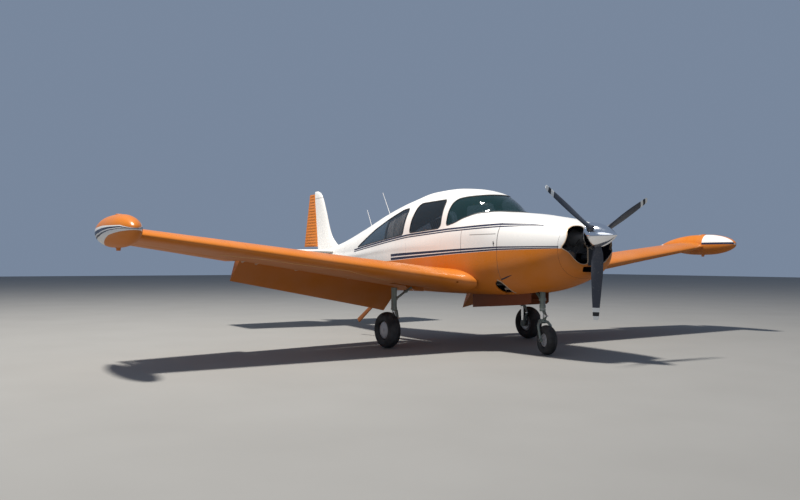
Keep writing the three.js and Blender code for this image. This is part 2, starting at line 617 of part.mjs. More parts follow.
function buildMainGear(side, name) {
  const centre = [MAIN_WHEEL.x, side * MAIN_WHEEL.y, MAIN_WHEEL.radius];
  const outward = new THREE.Vector3(0, side, 0);
  addPart(`main_tyre_${name}`, turned(wheelProfile(MAIN_WHEEL), centre, outward, WHEEL_SIDES), PAINT.rubber);
  addPart(`main_rim_${name}`, turned(rimProfile(MAIN_WHEEL, 60), centre, outward, WHEEL_SIDES), PAINT.alloy);

  const legY = side * MAIN_LEG_Y;
  const axleZ = MAIN_WHEEL.radius;
  const barrel = rod([MAIN_WHEEL.x, legY, 852], [MAIN_WHEEL.x, legY, 520], 40);
  const piston = rod([MAIN_WHEEL.x, legY, 530], [MAIN_WHEEL.x, legY, axleZ - 40], 27);
  const axle = rod([MAIN_WHEEL.x, legY, axleZ], [MAIN_WHEEL.x, side * (MAIN_WHEEL.y - 64), axleZ], 22);
  const linkX = MAIN_WHEEL.x + 95;
  const upperLink = rod([MAIN_WHEEL.x + 20, legY, 540], [linkX, legY, 420], 13, 8);
  const lowerLink = rod([linkX, legY, 428], [MAIN_WHEEL.x + 15, legY, 290], 13, 8);
  const lowBrace = rod([MAIN_WHEEL.x, legY, 690], [MAIN_WHEEL.x, side * 1020, 800], 16, 10);
  const highBrace = rod([MAIN_WHEEL.x, side * 1026, 792], [MAIN_WHEEL.x, side * 930, 850], 16, 10);
  addPart(`main_leg_${name}`, join(barrel, piston, axle, upperLink, lowerLink, lowBrace, highBrace), PAINT.strut);
}

// A long door hangs along each side of the nose wheel's bay
function noseDoor(side) {
  const [backFoot, frontFoot] = NOSE_BAY.doorFoot;
  const { backX, doorFrontX, half } = NOSE_BAY;
  const outline = [[backX - 20, backFoot], [doorFrontX - 40, frontFoot], [doorFrontX, frontFoot + 30], [doorFrontX, 900], [backX - 20, 900]];
  const plate = sidePlate(outline, half + 3, half + 13);
  return (side > 0 ? plate : mirrored(plate)).subtract(fuselageHull(-4)).subtract(box([0, -900, 860], [4000, 900, 1000]));
}

function buildNoseGear() {
  addPart('nose_door_left', noseDoor(1), PAINT.orange);
  addPart('nose_door_right', noseDoor(-1), PAINT.orange);
  const turn = THREE.MathUtils.degToRad(STEER.turned);
  const heading = new THREE.Vector3(Math.cos(turn), Math.sin(turn), 0);
  const across = new THREE.Vector3(-Math.sin(turn), Math.cos(turn), 0);
  const at = (forward, out, z) => [
    STEER.x + heading.x * forward + across.x * out, heading.y * forward + across.y * out, z,
  ];
  const axleZ = NOSE_WHEEL.radius;
  addPart('nose_leg', join(
    rod([STEER.x, 0, 1100], [STEER.x, 0, 600], 42),
    rod([STEER.x - 20, 0, 720], [2625, 0, 915], 18, 10),
  ), PAINT.strut);

  const legOut = NOSE_WHEEL.width / 2 + 24;
  const crownZ = 432;
  const forkLeg = (side) => join(
    rod(at(10, side * 30, crownZ), at(52, side * legOut, crownZ - 60), 17, 10),
    rod(at(46, side * legOut, crownZ - 45), at(STEER.forward, side * legOut, axleZ - 18), 17, 10),
  );
  const fork = join(
    rod([STEER.x, 0, 594], [STEER.x, 0, 430], 30),
    rod(at(0, -46, crownZ), at(0, 46, crownZ), 26, 12),
    forkLeg(1), forkLeg(-1),
    rod(at(STEER.forward, -legOut - 20, axleZ), at(STEER.forward, legOut + 20, axleZ), 14, 12),
    rod(at(20, 0, 570), at(105, 0, 505), 10, 8),
    rod(at(105, 0, 512), at(30, 0, 440), 10, 8),
  );
  const bore = rod(at(STEER.forward, -legOut + 18, axleZ), at(STEER.forward, legOut - 18, axleZ), 40, 12);
  addPart('nose_fork', fork.subtract(bore), PAINT.strut);
  const centre = at(STEER.forward, 0, axleZ);
  addPart('nose_tyre', turned(wheelProfile(NOSE_WHEEL), centre, across, WHEEL_SIDES), PAINT.rubber);
  const rimShape = rimProfile(NOSE_WHEEL, NOSE_WHEEL.width / 4);
  addPart('nose_rim', turned(rimShape, centre, across, WHEEL_SIDES), PAINT.alloy);
}

// Cabin
function buildCabin() {
  const room = fuselageHull(SKIN.cabin + 1);
  const floor = room.intersect(box([-350, -900, 905], [2440, 900, 930]));
  addPart('cabin_floor', floor, PAINT.dark);
  const panel = room.intersect(box([1960, -900, 1330], [1990, 900, 1835]));
  const shelf = room.intersect(box([1985, -900, 1805], [2540, 900, 1835]));
  addPart('instrument_panel', join(panel, shelf), PAINT.dark);

  const seatShape = [[0, 1080], [520, 1100], [540, 1130], [520, 1225], [120, 1205], [-60, 1750], [-150, 1740], [-40, 1120]];
  const seat = (x, lowY, highY) => sidePlate(seatShape.map(([sx, sz]) => [x + sx, sz]), lowY, highY);
  addPart('seat_front_left', seat(900, 35, 500), PAINT.seat);
  addPart('seat_front_right', seat(900, -500, -35), PAINT.seat);
  addPart('seat_rear', seat(0, -430, 430), PAINT.seat);
  for (const [name, y] of [['left', 270], ['right', -270]]) {
    const wheel = join(
      rod([1955, y, 1560], [1740, y, 1585], 11, 10),
      rod([1742, y - 130, 1590], [1742, y + 130, 1590], 11, 10),
      rod([1742, y - 130, 1584], [1730, y - 150, 1665], 12, 10),
      rod([1742, y + 130, 1584], [1730, y + 150, 1665], 12, 10),
    );
    addPart(`control_wheel_${name}`, wheel, PAINT.dark);
  }

  const curtain = [[-270, 1590], [240, 1640], [270, 2000], [-270, 1890]];
  const sheet = fuselageHull(SKIN.cabin + 3).subtract(fuselageHull(SKIN.cabin + 17));
  addPart('curtain_left', sheet.intersect(sidePlate(curtain, 100, OUTSIDE_Y)), PAINT.cloth);
  addPart('curtain_right', sheet.intersect(sidePlate(curtain, -OUTSIDE_Y, -100)), PAINT.cloth);
}

function buildFittings() {
  const wing = mirrored(wingBlank());
  const step = sidePlate([[-932, 262], [-890, 222], [30, 784], [-40, 790]], -606, -594);
  addPart('boarding_step', step.subtract(wing).subtract(wing.translate([0, 0, -GAP])), PAINT.orange);
  addPart('antenna_front', rod([-865, 0, 2001], [-1120, 0, 2420], 5, 8), PAINT.white);
  addPart('antenna_rear', rod([-1470, 0, 1823], [-1640, 0, 2150], 5, 8), PAINT.white);
}

buildFuselage();
buildWing(1, 'left');
buildWing(-1, 'right');
buildTail();
buildNose();
buildMainGear(1, 'left');
buildMainGear(-1, 'right');
buildNoseGear();
buildCabin();
buildFittings();

export default aircraft;
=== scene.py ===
# %% [markdown]
# This file dresses a light aircraft that was first drawn as plain solids.
# The solids are the frame: they fix every place and every joint.
# Each cell below makes one piece or one finish and hangs it on that frame.

# %% Load the frame
import json
import math

import bmesh
import bpy
import numpy as np
from mathutils import Matrix, Vector
from mathutils.bvhtree import BVHTree

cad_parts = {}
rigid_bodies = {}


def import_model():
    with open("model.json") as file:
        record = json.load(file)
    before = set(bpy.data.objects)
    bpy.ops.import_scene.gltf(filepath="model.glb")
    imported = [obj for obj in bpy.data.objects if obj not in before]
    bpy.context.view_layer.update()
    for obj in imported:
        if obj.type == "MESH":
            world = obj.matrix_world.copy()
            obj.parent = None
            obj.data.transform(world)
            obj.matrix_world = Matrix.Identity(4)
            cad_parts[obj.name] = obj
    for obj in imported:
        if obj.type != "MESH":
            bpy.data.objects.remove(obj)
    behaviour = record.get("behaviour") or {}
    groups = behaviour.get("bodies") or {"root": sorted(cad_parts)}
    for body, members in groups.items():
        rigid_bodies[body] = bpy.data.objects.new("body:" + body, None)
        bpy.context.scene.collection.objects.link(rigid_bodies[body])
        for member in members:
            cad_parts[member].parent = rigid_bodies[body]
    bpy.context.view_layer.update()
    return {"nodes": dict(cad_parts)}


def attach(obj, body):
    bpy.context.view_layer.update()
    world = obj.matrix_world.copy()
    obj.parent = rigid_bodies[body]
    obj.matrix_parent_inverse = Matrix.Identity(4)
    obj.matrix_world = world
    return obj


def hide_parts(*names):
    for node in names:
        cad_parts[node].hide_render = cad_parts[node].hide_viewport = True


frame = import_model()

MM = 0.001
SIDES = ((1, "left"), (-1, "right"))

# %% [markdown]
# The photograph was taken about 1.2 m above the ground, ahead of the starboard wing, with a fairly wide
# lens. A camera is a place, a heading and a focal length. Building its axes by hand keeps the small
# roll, which a track-to constraint would lose.

# %% The camera
EYE = Vector((10.599, -7.427, 1.207))
YAW, PITCH, ROLL = (math.radians(a) for a in (146.39, 0.899, 0.154))
SENSOR_WIDTH = 36.0
FOCAL_PER_WIDTH = 796.0 / 800

camera_data = bpy.data.cameras.new("camera")
camera_data.sensor_width = SENSOR_WIDTH
camera_data.lens = FOCAL_PER_WIDTH * SENSOR_WIDTH
camera = bpy.data.objects.new("camera", camera_data)
bpy.context.scene.collection.objects.link(camera)
ahead = Vector((math.cos(PITCH) * math.cos(YAW), math.cos(PITCH) * math.sin(YAW), math.sin(PITCH)))
level_right = ahead.cross(Vector((0, 0, 1))).normalized()
level_up = level_right.cross(ahead)
right = level_right * math.cos(ROLL) + level_up * math.sin(ROLL)
up = level_up * math.cos(ROLL) - level_right * math.sin(ROLL)
axes = Matrix((right, up, -ahead)).transposed().to_4x4()
camera.matrix_world = Matrix.Translation(EYE) @ axes
camera_data.clip_end = 300
bpy.context.scene.camera = camera
print("camera lens", round(camera_data.lens, 2), "mm")

# %% [markdown]
# Every surface gets its finish from shader nodes. A node tree grows long when it is wired by hand,
# so this small helper adds a node, links its inputs and hands back its output in one line.

# %% A helper for shader nodes
class Finish:
    """A material with a Principled shader, and short ways to add nodes to it."""

    def __init__(self, name):
        self.material = bpy.data.materials.new(name)
        self.material.use_nodes = True
        self.tree = self.material.node_tree
        self.shader = self.tree.nodes["Principled BSDF"]
        self.place = self.add("ShaderNodeTexCoord").outputs["Object"]
        split = self.add("ShaderNodeSeparateXYZ", Vector=self.place)
        self.x, self.y, self.z = split.outputs

    def add(self, kind, settings=(), **inputs):
        node = self.tree.nodes.new(kind)
        for key, value in dict(settings).items():
            setattr(node, key, value)
        for key, value in inputs.items():
            self.feed(node.inputs[key.replace("_", " ")], value)
        return node

    def feed(self, socket, value):
        if isinstance(value, bpy.types.NodeSocket):
            self.tree.links.new(value, socket)
        else:
            socket.default_value = value

    def math(self, operation, *values):
        node = self.add("ShaderNodeMath", {"operation": operation})
        for socket, value in zip(node.inputs, values):
            self.feed(socket, value)
        return node.outputs[0]

    def ramp(self, value, low, high, to_low=0.0, to_high=1.0):
        """Value from low to high, stretched to to_low..to_high and held at the ends."""
        node = self.add("ShaderNodeMapRange", Value=value)
        for socket, number in zip(list(node.inputs)[1:5], (low, high, to_low, to_high)):
            self.feed(socket, number)
        return node.outputs[0]

    def between(self, value, low, high):
        """1 where value lies between low and high, else 0."""
        above = self.math("GREATER_THAN", value, low)
        below = self.math("LESS_THAN", value, high)
        return self.math("MULTIPLY", above, below)

    def mix(self, share, first, second):
        node = self.add("ShaderNodeMix", {"data_type": "RGBA"})
        for socket, value in ((node.inputs[0], share), (node.inputs[6], first), (node.inputs[7], second)):
            self.feed(socket, value if isinstance(value, (float, bpy.types.NodeSocket)) else (*value[:3], 1))
        return node.outputs[2]

    def noise(self, scale, detail=3.0, stretch=(1, 1, 1)):
        at = self.add("ShaderNodeMapping", Vector=self.place, Scale=stretch).outputs[0]
        return self.add("ShaderNodeTexNoise", Vector=at, Scale=scale, Detail=detail).outputs[0]

    def curve(self, value, points):
        """A line through points of (value, result), straight between them."""
        result = points[0][1]
        for (v0, r0), (v1, r1) in zip(points, points[1:]):
            step = self.ramp(value, v0, v1, 0.0, r1 - r0)
            result = self.math("ADD", result, step)
        return result

    def bump(self, height, depth, strength=1.0):
        node = self.add("ShaderNodeBump", Height=height, Distance=depth, Strength=strength)
        self.tree.links.new(node.outputs[0], self.shader.inputs["Normal"])

    def set(self, **inputs):
        for key, value in inputs.items():
            if isinstance(value, tuple) and len(value) == 3:
                value = (*value, 1)
            self.feed(self.shader.inputs[key.replace("_", " ")], value)
        return self


print("the shader helper is ready")

# %% [markdown]
# Old aircraft paint is thick gloss enamel. It is never one flat colour: it fades in soft patches,
# holds dust in some places and shows a faint ripple in reflections. Three layers of noise give the
# fade, the uneven gloss and the ripple.

# %% Paint
WHITE = (0.70, 0.685, 0.665)
TAIL_WHITE = (0.80, 0.785, 0.755)
ORANGE = (0.52, 0.148, 0.004)
NAVY = (0.022, 0.024, 0.05)
DIRT = (0.16, 0.14, 0.13)


def faded(colour, fade, towards):
    return tuple(c * (1 - fade) + fade * towards for c in colour)


def aged(finish, colour, fade=0.06):
    """The colour with soft patches of fading."""
    patches = finish.ramp(finish.noise(1.7, 4.0), 0.35, 0.65)
    return finish.mix(patches, colour, faded(colour, fade, 0.5))


def gloss(finish, colour, roughness=0.22):
    """A shiny coat, duller wherever the surface faces the ground and gathers oil and dust."""
    finish.set(Base_Color=colour, Specular_IOR_Level=0.38)
    normal = finish.add("ShaderNodeNewGeometry").outputs["Normal"]
    facing_up = finish.add("ShaderNodeSeparateXYZ", Vector=normal).outputs[2]
    shine = finish.ramp(finish.noise(6.0), 0.3, 0.7, roughness, roughness + 0.12)
    grime = finish.ramp(facing_up, -0.6, -0.1, 0.38, 0.0)
    finish.set(Roughness=finish.math("ADD", shine, grime))
    finish.bump(finish.noise(2.4, 1.0), 0.004, 0.15)
    return finish


orange_finish = Finish("orange_enamel")
gloss(orange_finish, aged(orange_finish, ORANGE))
orange_paint = orange_finish.material
print("orange enamel made")

# %% [markdown]
# The white upper body carries two thin dark lines under the windows and two heavier ones above the
# edge of the orange. All four follow gentle curves from tail to nose, so the shader works out each
# line's height at every place along the body and compares the surface with it.

# %% White paint with its stripes
# Points of (x, height): the orange's upper edge, and the middle of the pair of thin lines
PAINT_EDGE = [(-3.7, 1.09), (0.1, 1.24), (1.75, 1.33), (2.64, 1.37), (3.74, 1.385)]
PINSTRIPE = [(-1.49, 1.41), (0.47, 1.61), (1.52, 1.668), (2.57, 1.70), (3.08, 1.69), (3.4, 1.665)]
# Lower and upper edge of each line above its guide, and the stretch of x that it covers
HEAVY_LINES, HEAVY_REACH = [(0.062, 0.104), (0.006, 0.046)], (0.0, 3.6)
THIN_LINES, THIN_REACH = [(0.004, 0.030), (-0.024, -0.006)], (-1.49, 3.3)
# Dirt gathers in two upright joints and one level joint below a certain height
DIRTY_JOINTS, DIRT_TOP = [(1.844, 1.856), (2.594, 2.611)], 1.66
LID_JOINT, LID_REACH = (1.581, 1.594), (2.04, 2.56)


def lines_on(paint, height, lines, reach):
    bands = paint.math("ADD", *[paint.between(height, *line) for line in lines])
    return paint.math("MULTIPLY", bands, paint.between(paint.x, *reach))


def white_with_stripes():
    paint = Finish("white_enamel")
    above = paint.math("SUBTRACT", paint.z, paint.curve(paint.x, PAINT_EDGE))
    # Dividing the height by a falling number makes the lines thinner towards the nose
    height = paint.math("DIVIDE", above, paint.ramp(paint.x, 0.2, 3.55, 1.0, 0.30))
    heavy = lines_on(paint, height, HEAVY_LINES, HEAVY_REACH)
    height = paint.math("SUBTRACT", paint.z, paint.curve(paint.x, PINSTRIPE))
    height = paint.math("DIVIDE", height, paint.ramp(paint.x, 2.6, 3.3, 1.0, 0.25))
    thin = lines_on(paint, height, THIN_LINES, THIN_REACH)
    marks = paint.math("MINIMUM", paint.math("ADD", heavy, thin), 1.0)
    outside = paint.math("GREATER_THAN", paint.math("ABSOLUTE", paint.y), 0.05)
    marks = paint.math("MULTIPLY", marks, outside)
    joints = paint.math("ADD", *[paint.between(paint.x, *joint) for joint in DIRTY_JOINTS])
    lid = paint.math("MULTIPLY", paint.between(paint.z, *LID_JOINT), paint.between(paint.x, *LID_REACH))
    low_part = paint.math("LESS_THAN", paint.z, DIRT_TOP)
    dirt = paint.math("MULTIPLY", paint.math("ADD", joints, lid), low_part)
    white = paint.mix(paint.math("MULTIPLY", dirt, 0.55), aged(paint, WHITE, 0.04), DIRT)
    orange_below = paint.math("LESS_THAN", above, 0.0)
    return gloss(paint, paint.mix(orange_below, paint.mix(marks, white, NAVY), ORANGE)).material


white_paint = white_with_stripes()
plain_white = gloss(Finish("plain_white_enamel"), TAIL_WHITE).material
print("white enamel made, with", len(PINSTRIPE), "points on the thin line")

# %% [markdown]
# Metals differ mostly in how they scatter a reflection. Bare sheet is cloudy, the spinner is
# polished like a mirror and has fine turning marks, and a cast crankcase is grainy.

# %% Metals
def metal(name, colour, roughness, grain, depth, stretch=(1, 1, 1), metallic=1.0):
    finish = Finish(name)
    marks = finish.noise(grain, 4.0, stretch)
    shade = finish.ramp(marks, 0.3, 0.7, 0.86, 1.0)
    tint = finish.mix(shade, tuple(c * 0.55 for c in colour), colour)
    finish.set(Base_Color=tint, Metallic=metallic)
    finish.set(Roughness=finish.ramp(marks, 0.3, 0.7, roughness, roughness + 0.1))
    finish.bump(marks, depth, 0.5)
    return finish.material


bare_alloy = metal("bare_alloy", (0.62, 0.63, 0.65), 0.32, 60, 0.0006)
polished = metal("polished_alloy", (0.86, 0.87, 0.90), 0.05, 18, 0.0002, (6, 1, 1))
chrome = metal("chromed_steel", (0.80, 0.81, 0.83), 0.06, 40, 0.0001)
cast_metal = metal("cast_metal", (0.30, 0.31, 0.33), 0.5, 140, 0.0012, metallic=0.8)
exhaust_steel = metal("burnt_steel", (0.22, 0.17, 0.14), 0.45, 35, 0.001, metallic=0.9)
strut_paint = metal("strut_enamel", (0.20, 0.235, 0.21), 0.35, 90, 0.0003, metallic=0.1)
brake_metal = metal("brake_steel", (0.40, 0.40, 0.41), 0.35, 120, 0.0004, (1, 14, 1))
print("seven metals made")

# %% [markdown]
# Soft and dull finishes: rubber, moulded black trim, carpet, leather, cloth. Their grain is what
# tells them apart, so each has its own scale of bump.

# %% Dull finishes
def dull(name, colour, roughness, grain, depth, fade=0.15, sheen=0.0, kind="noise"):
    finish = Finish(name)
    if kind == "noise":
        marks = finish.noise(grain, 5.0)
    else:
        marks = finish.add("ShaderNodeTexVoronoi", Vector=finish.place, Scale=grain).outputs[0]
    patches = finish.ramp(finish.noise(7.0, 3.0), 0.35, 0.65)
    finish.set(Base_Color=finish.mix(patches, colour, faded(colour, fade, 0.12)))
    finish.set(Roughness=finish.ramp(marks, 0.2, 0.8, roughness - 0.08, roughness + 0.06))
    finish.set(Sheen_Weight=sheen)
    finish.bump(marks, depth, 0.6)
    return finish.material


rubber = dull("tyre_rubber", (0.009, 0.009, 0.010), 0.78, 220, 0.0008, 0.35)
black_trim = dull("black_trim", (0.020, 0.021, 0.023), 0.55, 300, 0.0004)
# Near-black painted shade for what is seen through openings: the cowl's lining, the chin trunk and the cowl
# slots.
dark_void = dull("painted_shade_inside", (0.011, 0.013, 0.030), 0.7, 40, 0.001)
carpet = dull("carpet", (0.075, 0.072, 0.07), 0.95, 420, 0.003, sheen=0.3, kind="cells")
leather = dull("seat_leather", (0.30, 0.21, 0.13), 0.48, 260, 0.0009, 0.2, kind="cells")
headliner = dull("headliner_cloth", (0.16, 0.165, 0.165), 0.9, 380, 0.001, sheen=0.2)
print("six dull finishes made")

# %% [markdown]
# A shape is often a row of sections. `loft` joins rings of points into one closed skin, with a lid
# at each end. Closed skins matter here, because openings are cut from them as solid from solid.

# %% Building closed shapes
def new_piece(name, vertices, faces):
    mesh = bpy.data.meshes.new(name)
    mesh.from_pydata([tuple(v) for v in vertices], [], faces)
    mesh.validate()
    piece = bpy.data.objects.new(name, mesh)
    bpy.context.scene.collection.objects.link(piece)
    return piece


def enclosed(vertices, faces):
    """Six times the volume inside the faces; negative if they point inwards."""
    total = 0.0
    for face in faces:
        fan = vertices[list(face)]
        spread = np.cross(fan[1:-1] - fan[0], fan[2:] - fan[0])
        total += np.einsum("ij,ij->", spread, np.broadcast_to(fan[0], spread.shape))
    return total


def loft(name, rings):
    rings = np.asarray(rings, float)
    rows, around = rings.shape[:2]
    index = np.arange(rows * around).reshape(rows, around)
    nxt = np.roll(index, -1, axis=1)
    sides = np.stack([index[:-1], nxt[:-1], nxt[1:], index[1:]], axis=-1).reshape(-1, 4)
    faces = [tuple(f) for f in sides.tolist()]
    faces += [tuple(index[0][::-1].tolist()), tuple(index[-1].tolist())]
    vertices = rings.reshape(-1, 3)
    if enclosed(vertices, faces) < 0:
        faces = [f[::-1] for f in faces]
    return new_piece(name, vertices, faces)


def block(name, corner, opposite):
    """A box between any two opposite corners."""
    (x0, x1), (y0, y1), (z0, z1) = (sorted(pair) for pair in zip(corner, opposite))
    return loft(name, [[(x, y, z) for y, z in ((y0, z0), (y1, z0), (y1, z1), (y0, z1))] for x in (x0, x1)])


def side_plate(name, outline, low_y, high_y):
    """An outline of (x, z) seen from the side, as thick as the stretch from low_y to high_y."""
    return loft(name, [[(x, y, z) for x, z in outline] for y in (low_y, high_y)])


def front_plate(name, outline, low_x, high_x):
    return loft(name, [[(x, y, z) for y, z in outline] for x in (low_x, high_x)])


def frame_along(way):
    """Two directions square to a way and to each other."""
    way = Vector(way).normalized()
    side = way.cross(Vector((0, 0, 1)) if abs(way.z) < 0.9 else Vector((1, 0, 0))).normalized()
    return side, side.cross(way).normalized()


def circle(centre, side, other, radius, count, start=0.0):
    """Places round a centre, in the plane of two directions."""
    angles = (2 * math.pi * (k + start) / count for k in range(count))
    return [centre + (side * math.cos(a) + other * math.sin(a)) * radius for a in angles]


def turned(name, profile, point, way, sides=48):
    """A profile of (distance along, radius) turned round an axis through a point."""
    side, other = frame_along(way)
    way = Vector(way).normalized()
    return loft(name, [circle(Vector(point) + way * along, side, other, max(radius, 1e-5), sides)
                       for along, radius in profile])


def spool(name, profile, point, way, sides=48):
    """A turned piece whose two ends are flat faces, closed to the axis."""
    return turned(name, [(profile[0][0], 0), *profile, (profile[-1][0], 0)], point, way, sides)


def rod(name, start, end, radius, sides=24, end_radius=None):
    way = Vector(end) - Vector(start)
    last = radius if end_radius is None else end_radius
    return turned(name, [(0, radius), (way.length, last)], start, way, sides)


def tube(name, points, radius, sides=12):
    """A round bar bent along a line of points; radius may be a list with one for each point."""
    points = [Vector(p) for p in points]
    side, _ = frame_along(points[1] - points[0])
    rings = []
    for i, point in enumerate(points):
        way = (points[min(i + 1, len(points) - 1)] - points[max(i - 1, 0)]).normalized()
        side = (side - way * side.dot(way)).normalized()
        size = radius[i] if isinstance(radius, (list, tuple)) else radius
        rings.append(circle(point, side, side.cross(way), size, sides))
    return loft(name, rings)


def blend(start, end, share):
    return start + (end - start) * share


print("shape helpers are ready")

# %% [markdown]
# Openings, grooves and halves all come from one tool: the Boolean modifier. The manifold solver is
# the fast one, and it asks for closed meshes, which is why everything above is closed.

# %% Cutting and joining
def settle(piece):
    """Replaces a piece's mesh by what its modifiers make of it."""
    graph = bpy.context.evaluated_depsgraph_get()
    mesh = bpy.data.meshes.new_from_object(piece.evaluated_get(graph))
    piece.modifiers.clear()
    piece.data = mesh
    return piece


def drop(*objects):
    for thing in objects:
        bpy.data.objects.remove(thing)


def cut(piece, *tools, how="DIFFERENCE", keep=False):
    for tool in tools:
        modifier = piece.modifiers.new("cut", "BOOLEAN")
        modifier.operation, modifier.solver, modifier.object = how, "MANIFOLD", tool
        settle(piece)
        if not keep:
            drop(tool)
    return piece


def common(piece, *tools, keep=False):
    return cut(piece, *tools, how="INTERSECT", keep=keep)


def twin(piece, name):
    copy = piece.copy()
    copy.data = piece.data.copy()
    copy.name = name
    bpy.context.scene.collection.objects.link(copy)
    return copy


def mirrored(piece, name):
    """A copy on the other side of the aircraft."""
    copy = twin(piece, name)
    copy.data.transform(Matrix.Diagonal((1, -1, 1, 1)))
    copy.data.flip_normals()
    return copy


def joined(name, pieces):
    """Several pieces as one object, with their materials kept."""
    keep = pieces[0]
    graph = bmesh.new()
    slots = []
    for piece in pieces:
        part = bmesh.new()
        part.from_mesh(piece.data)
        part.transform(piece.matrix_world)
        own = list(piece.data.materials)
        for face in part.faces:
            material = own[face.material_index] if own else None
            if material not in slots:
                slots.append(material)
            face.material_index = slots.index(material)
        loose = bpy.data.meshes.new("part")
        part.to_mesh(loose)
        part.free()
        graph.from_mesh(loose)
        bpy.data.meshes.remove(loose)
    mesh = bpy.data.meshes.new(name)
    graph.to_mesh(mesh)
    graph.free()
    for material in slots:
        mesh.materials.append(material)
    for piece in pieces[1:]:
        drop(piece)
    keep.data = mesh
    keep.matrix_world = Matrix.Identity(4)
    keep.name = name
    return keep


def dress(piece, material, body, stands_for=(), crease=32):
    """Smooth shading with real edges kept sharp, a finish and a body to ride on."""
    if material is not None:
        piece.data.materials.clear()
        piece.data.materials.append(material)
    piece.data.shade_smooth()
    piece.data.set_sharp_from_angle(angle=math.radians(crease))
    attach(piece, body)
    if stands_for:
        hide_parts(*stands_for)
    return piece


print("cutting helpers are ready")

# %% [markdown]
# The body is a row of rounded sections, and so is the cabin that rises out of it. The real skin runs
# from one into the other without a crease, so each section is measured outward from a middle line
# and the longer reach wins, with a small blend where the two are equal.

# %% The body's surface
# Columns: x, top, bottom, half width, height of the widest point, upper and lower roundness
BODY_STATIONS = [
    (3705, 1600, 1130, 300, 1385, 2.2, 2.2), (3688, 1655, 1075, 390, 1385, 2.3, 2.2),
    (3640, 1690, 1040, 440, 1385, 2.3, 2.3), (3560, 1722, 1000, 475, 1385, 2.3, 2.3),
    (3400, 1765, 935, 515, 1385, 2.4, 2.4), (3100, 1815, 850, 555, 1385, 2.5, 2.5),
    (2800, 1860, 800, 580, 1385, 2.6, 2.6), (2600, 1880, 780, 590, 1385, 2.7, 2.7),
    (2450, 1897, 770, 596, 1390, 2.9, 2.8), (2270, 1925, 765, 600, 1395, 3.2, 2.9),
    (2020, 1940, 758, 602, 1400, 3.3, 3.0), (1650, 1915, 752, 598, 1400, 3.3, 3.0),
    (1400, 1885, 750, 595, 1395, 3.2, 3.0), (1000, 1800, 750, 590, 1385, 3.0, 3.0),
    (500, 1750, 755, 583, 1380, 2.8, 3.0), (0, 1690, 775, 560, 1370, 2.6, 2.8),
    (-600, 1600, 830, 490, 1350, 2.4, 2.5), (-1400, 1490, 930, 385, 1320, 2.3, 2.3),
    (-2300, 1410, 1050, 255, 1290, 2.2, 2.2), (-3100, 1385, 1150, 150, 1290, 2.1, 2.1),
    (-3700, 1350, 1230, 60, 1290, 2, 2),
]
CABIN_STATIONS = [
    (2450, 1870, 1320, 130, 1450, 2, 2), (2400, 1930, 1300, 230, 1450, 2, 2),
    (2330, 1992, 1290, 320, 1450, 2, 2), (2250, 2050, 1280, 395, 1450, 2.1, 2),
    (2150, 2108, 1270, 455, 1450, 2.2, 2), (1900, 2210, 1260, 540, 1450, 2.5, 2),
    (1530, 2285, 1250, 570, 1450, 2.6, 2), (1130, 2315, 1250, 576, 1450, 2.6, 2),
    (720, 2303, 1250, 575, 1450, 2.6, 2), (270, 2235, 1240, 565, 1440, 2.5, 2),
    (-200, 2145, 1230, 530, 1420, 2.4, 2), (-700, 2035, 1210, 470, 1390, 2.2, 2),
    (-1340, 1855, 1180, 385, 1340, 2.1, 2), (-2280, 1610, 1150, 240, 1300, 2.1, 2),
    (-3000, 1470, 1150, 130, 1290, 2.1, 2), (-3450, 1390, 1150, 70, 1290, 2.1, 2),
    (-3700, 1340, 1180, 50, 1290, 2.1, 2),
]
AROUND = 144
MERGE_WITHIN = 0.035


def from_tail(rows):
    table = np.array(rows, float)
    table[:, :5] *= MM
    return table[::-1]


BODY, CABIN = from_tail(BODY_STATIONS), from_tail(CABIN_STATIONS)


def smooth_rows(table, x):
    """The table's columns at each x, on a smooth curve that never overshoots a station."""
    at, rows = table[:, 0], table[:, 1:]
    step = np.diff(at)[:, None]
    slope = np.diff(rows, axis=0) / step
    first, second = 2 * step[1:] + step[:-1], step[1:] + 2 * step[:-1]
    with np.errstate(divide="ignore", invalid="ignore"):
        middle = (first + second) / (first / slope[:-1] + second / slope[1:])
    middle = np.where(slope[:-1] * slope[1:] > 0, middle, 0)
    lean = np.vstack([slope[:1], middle, slope[-1:]])
    i = np.clip(np.searchsorted(at, x) - 1, 0, len(at) - 2)
    t = ((x - at[i]) / step[i, 0])[:, None]
    h = step[i]
    return ((1 + 2 * t) * (1 - t) ** 2 * rows[i] + t * (1 - t) ** 2 * h * lean[i]
            + t * t * (3 - 2 * t) * rows[i + 1] + t * t * (t - 1) * h * lean[i + 1])


def reach_to_edge(section, middle, angle):
    """Distance from the middle line to the section's edge in each direction."""
    top, bottom, half, wide, upper, lower = (c[:, None] for c in section.T)
    near = np.zeros(np.broadcast(half, angle).shape)
    far = np.full_like(near, 2.0)
    for _ in range(32):
        guess = (near + far) / 2
        rise = middle[:, None] + guess * np.sin(angle) - wide
        tall = np.where(rise > 0, top - wide, wide - bottom)
        power = np.where(rise > 0, upper, lower)
        inside = np.abs(guess * np.cos(angle) / half) ** power + np.abs(rise / tall) ** power < 1
        near, far = np.where(inside, guess, near), np.where(inside, far, guess)
    return (near + far) / 2


def body_reach(x, angle):
    section = smooth_rows(BODY, np.clip(x, BODY[0, 0], BODY[-1, 0]))
    middle = section[:, 3]
    body = reach_to_edge(section, middle, angle)
    cabin = reach_to_edge(smooth_rows(CABIN, np.clip(x, CABIN[0, 0], CABIN[-1, 0])), middle, angle)
    cabin = np.where((x < CABIN[-1, 0])[:, None], cabin, 0)
    near_equal = np.maximum(MERGE_WITHIN - np.abs(body - cabin), 0) / MERGE_WITHIN
    return middle, np.maximum(body, cabin) + near_equal ** 2 * MERGE_WITHIN / 4


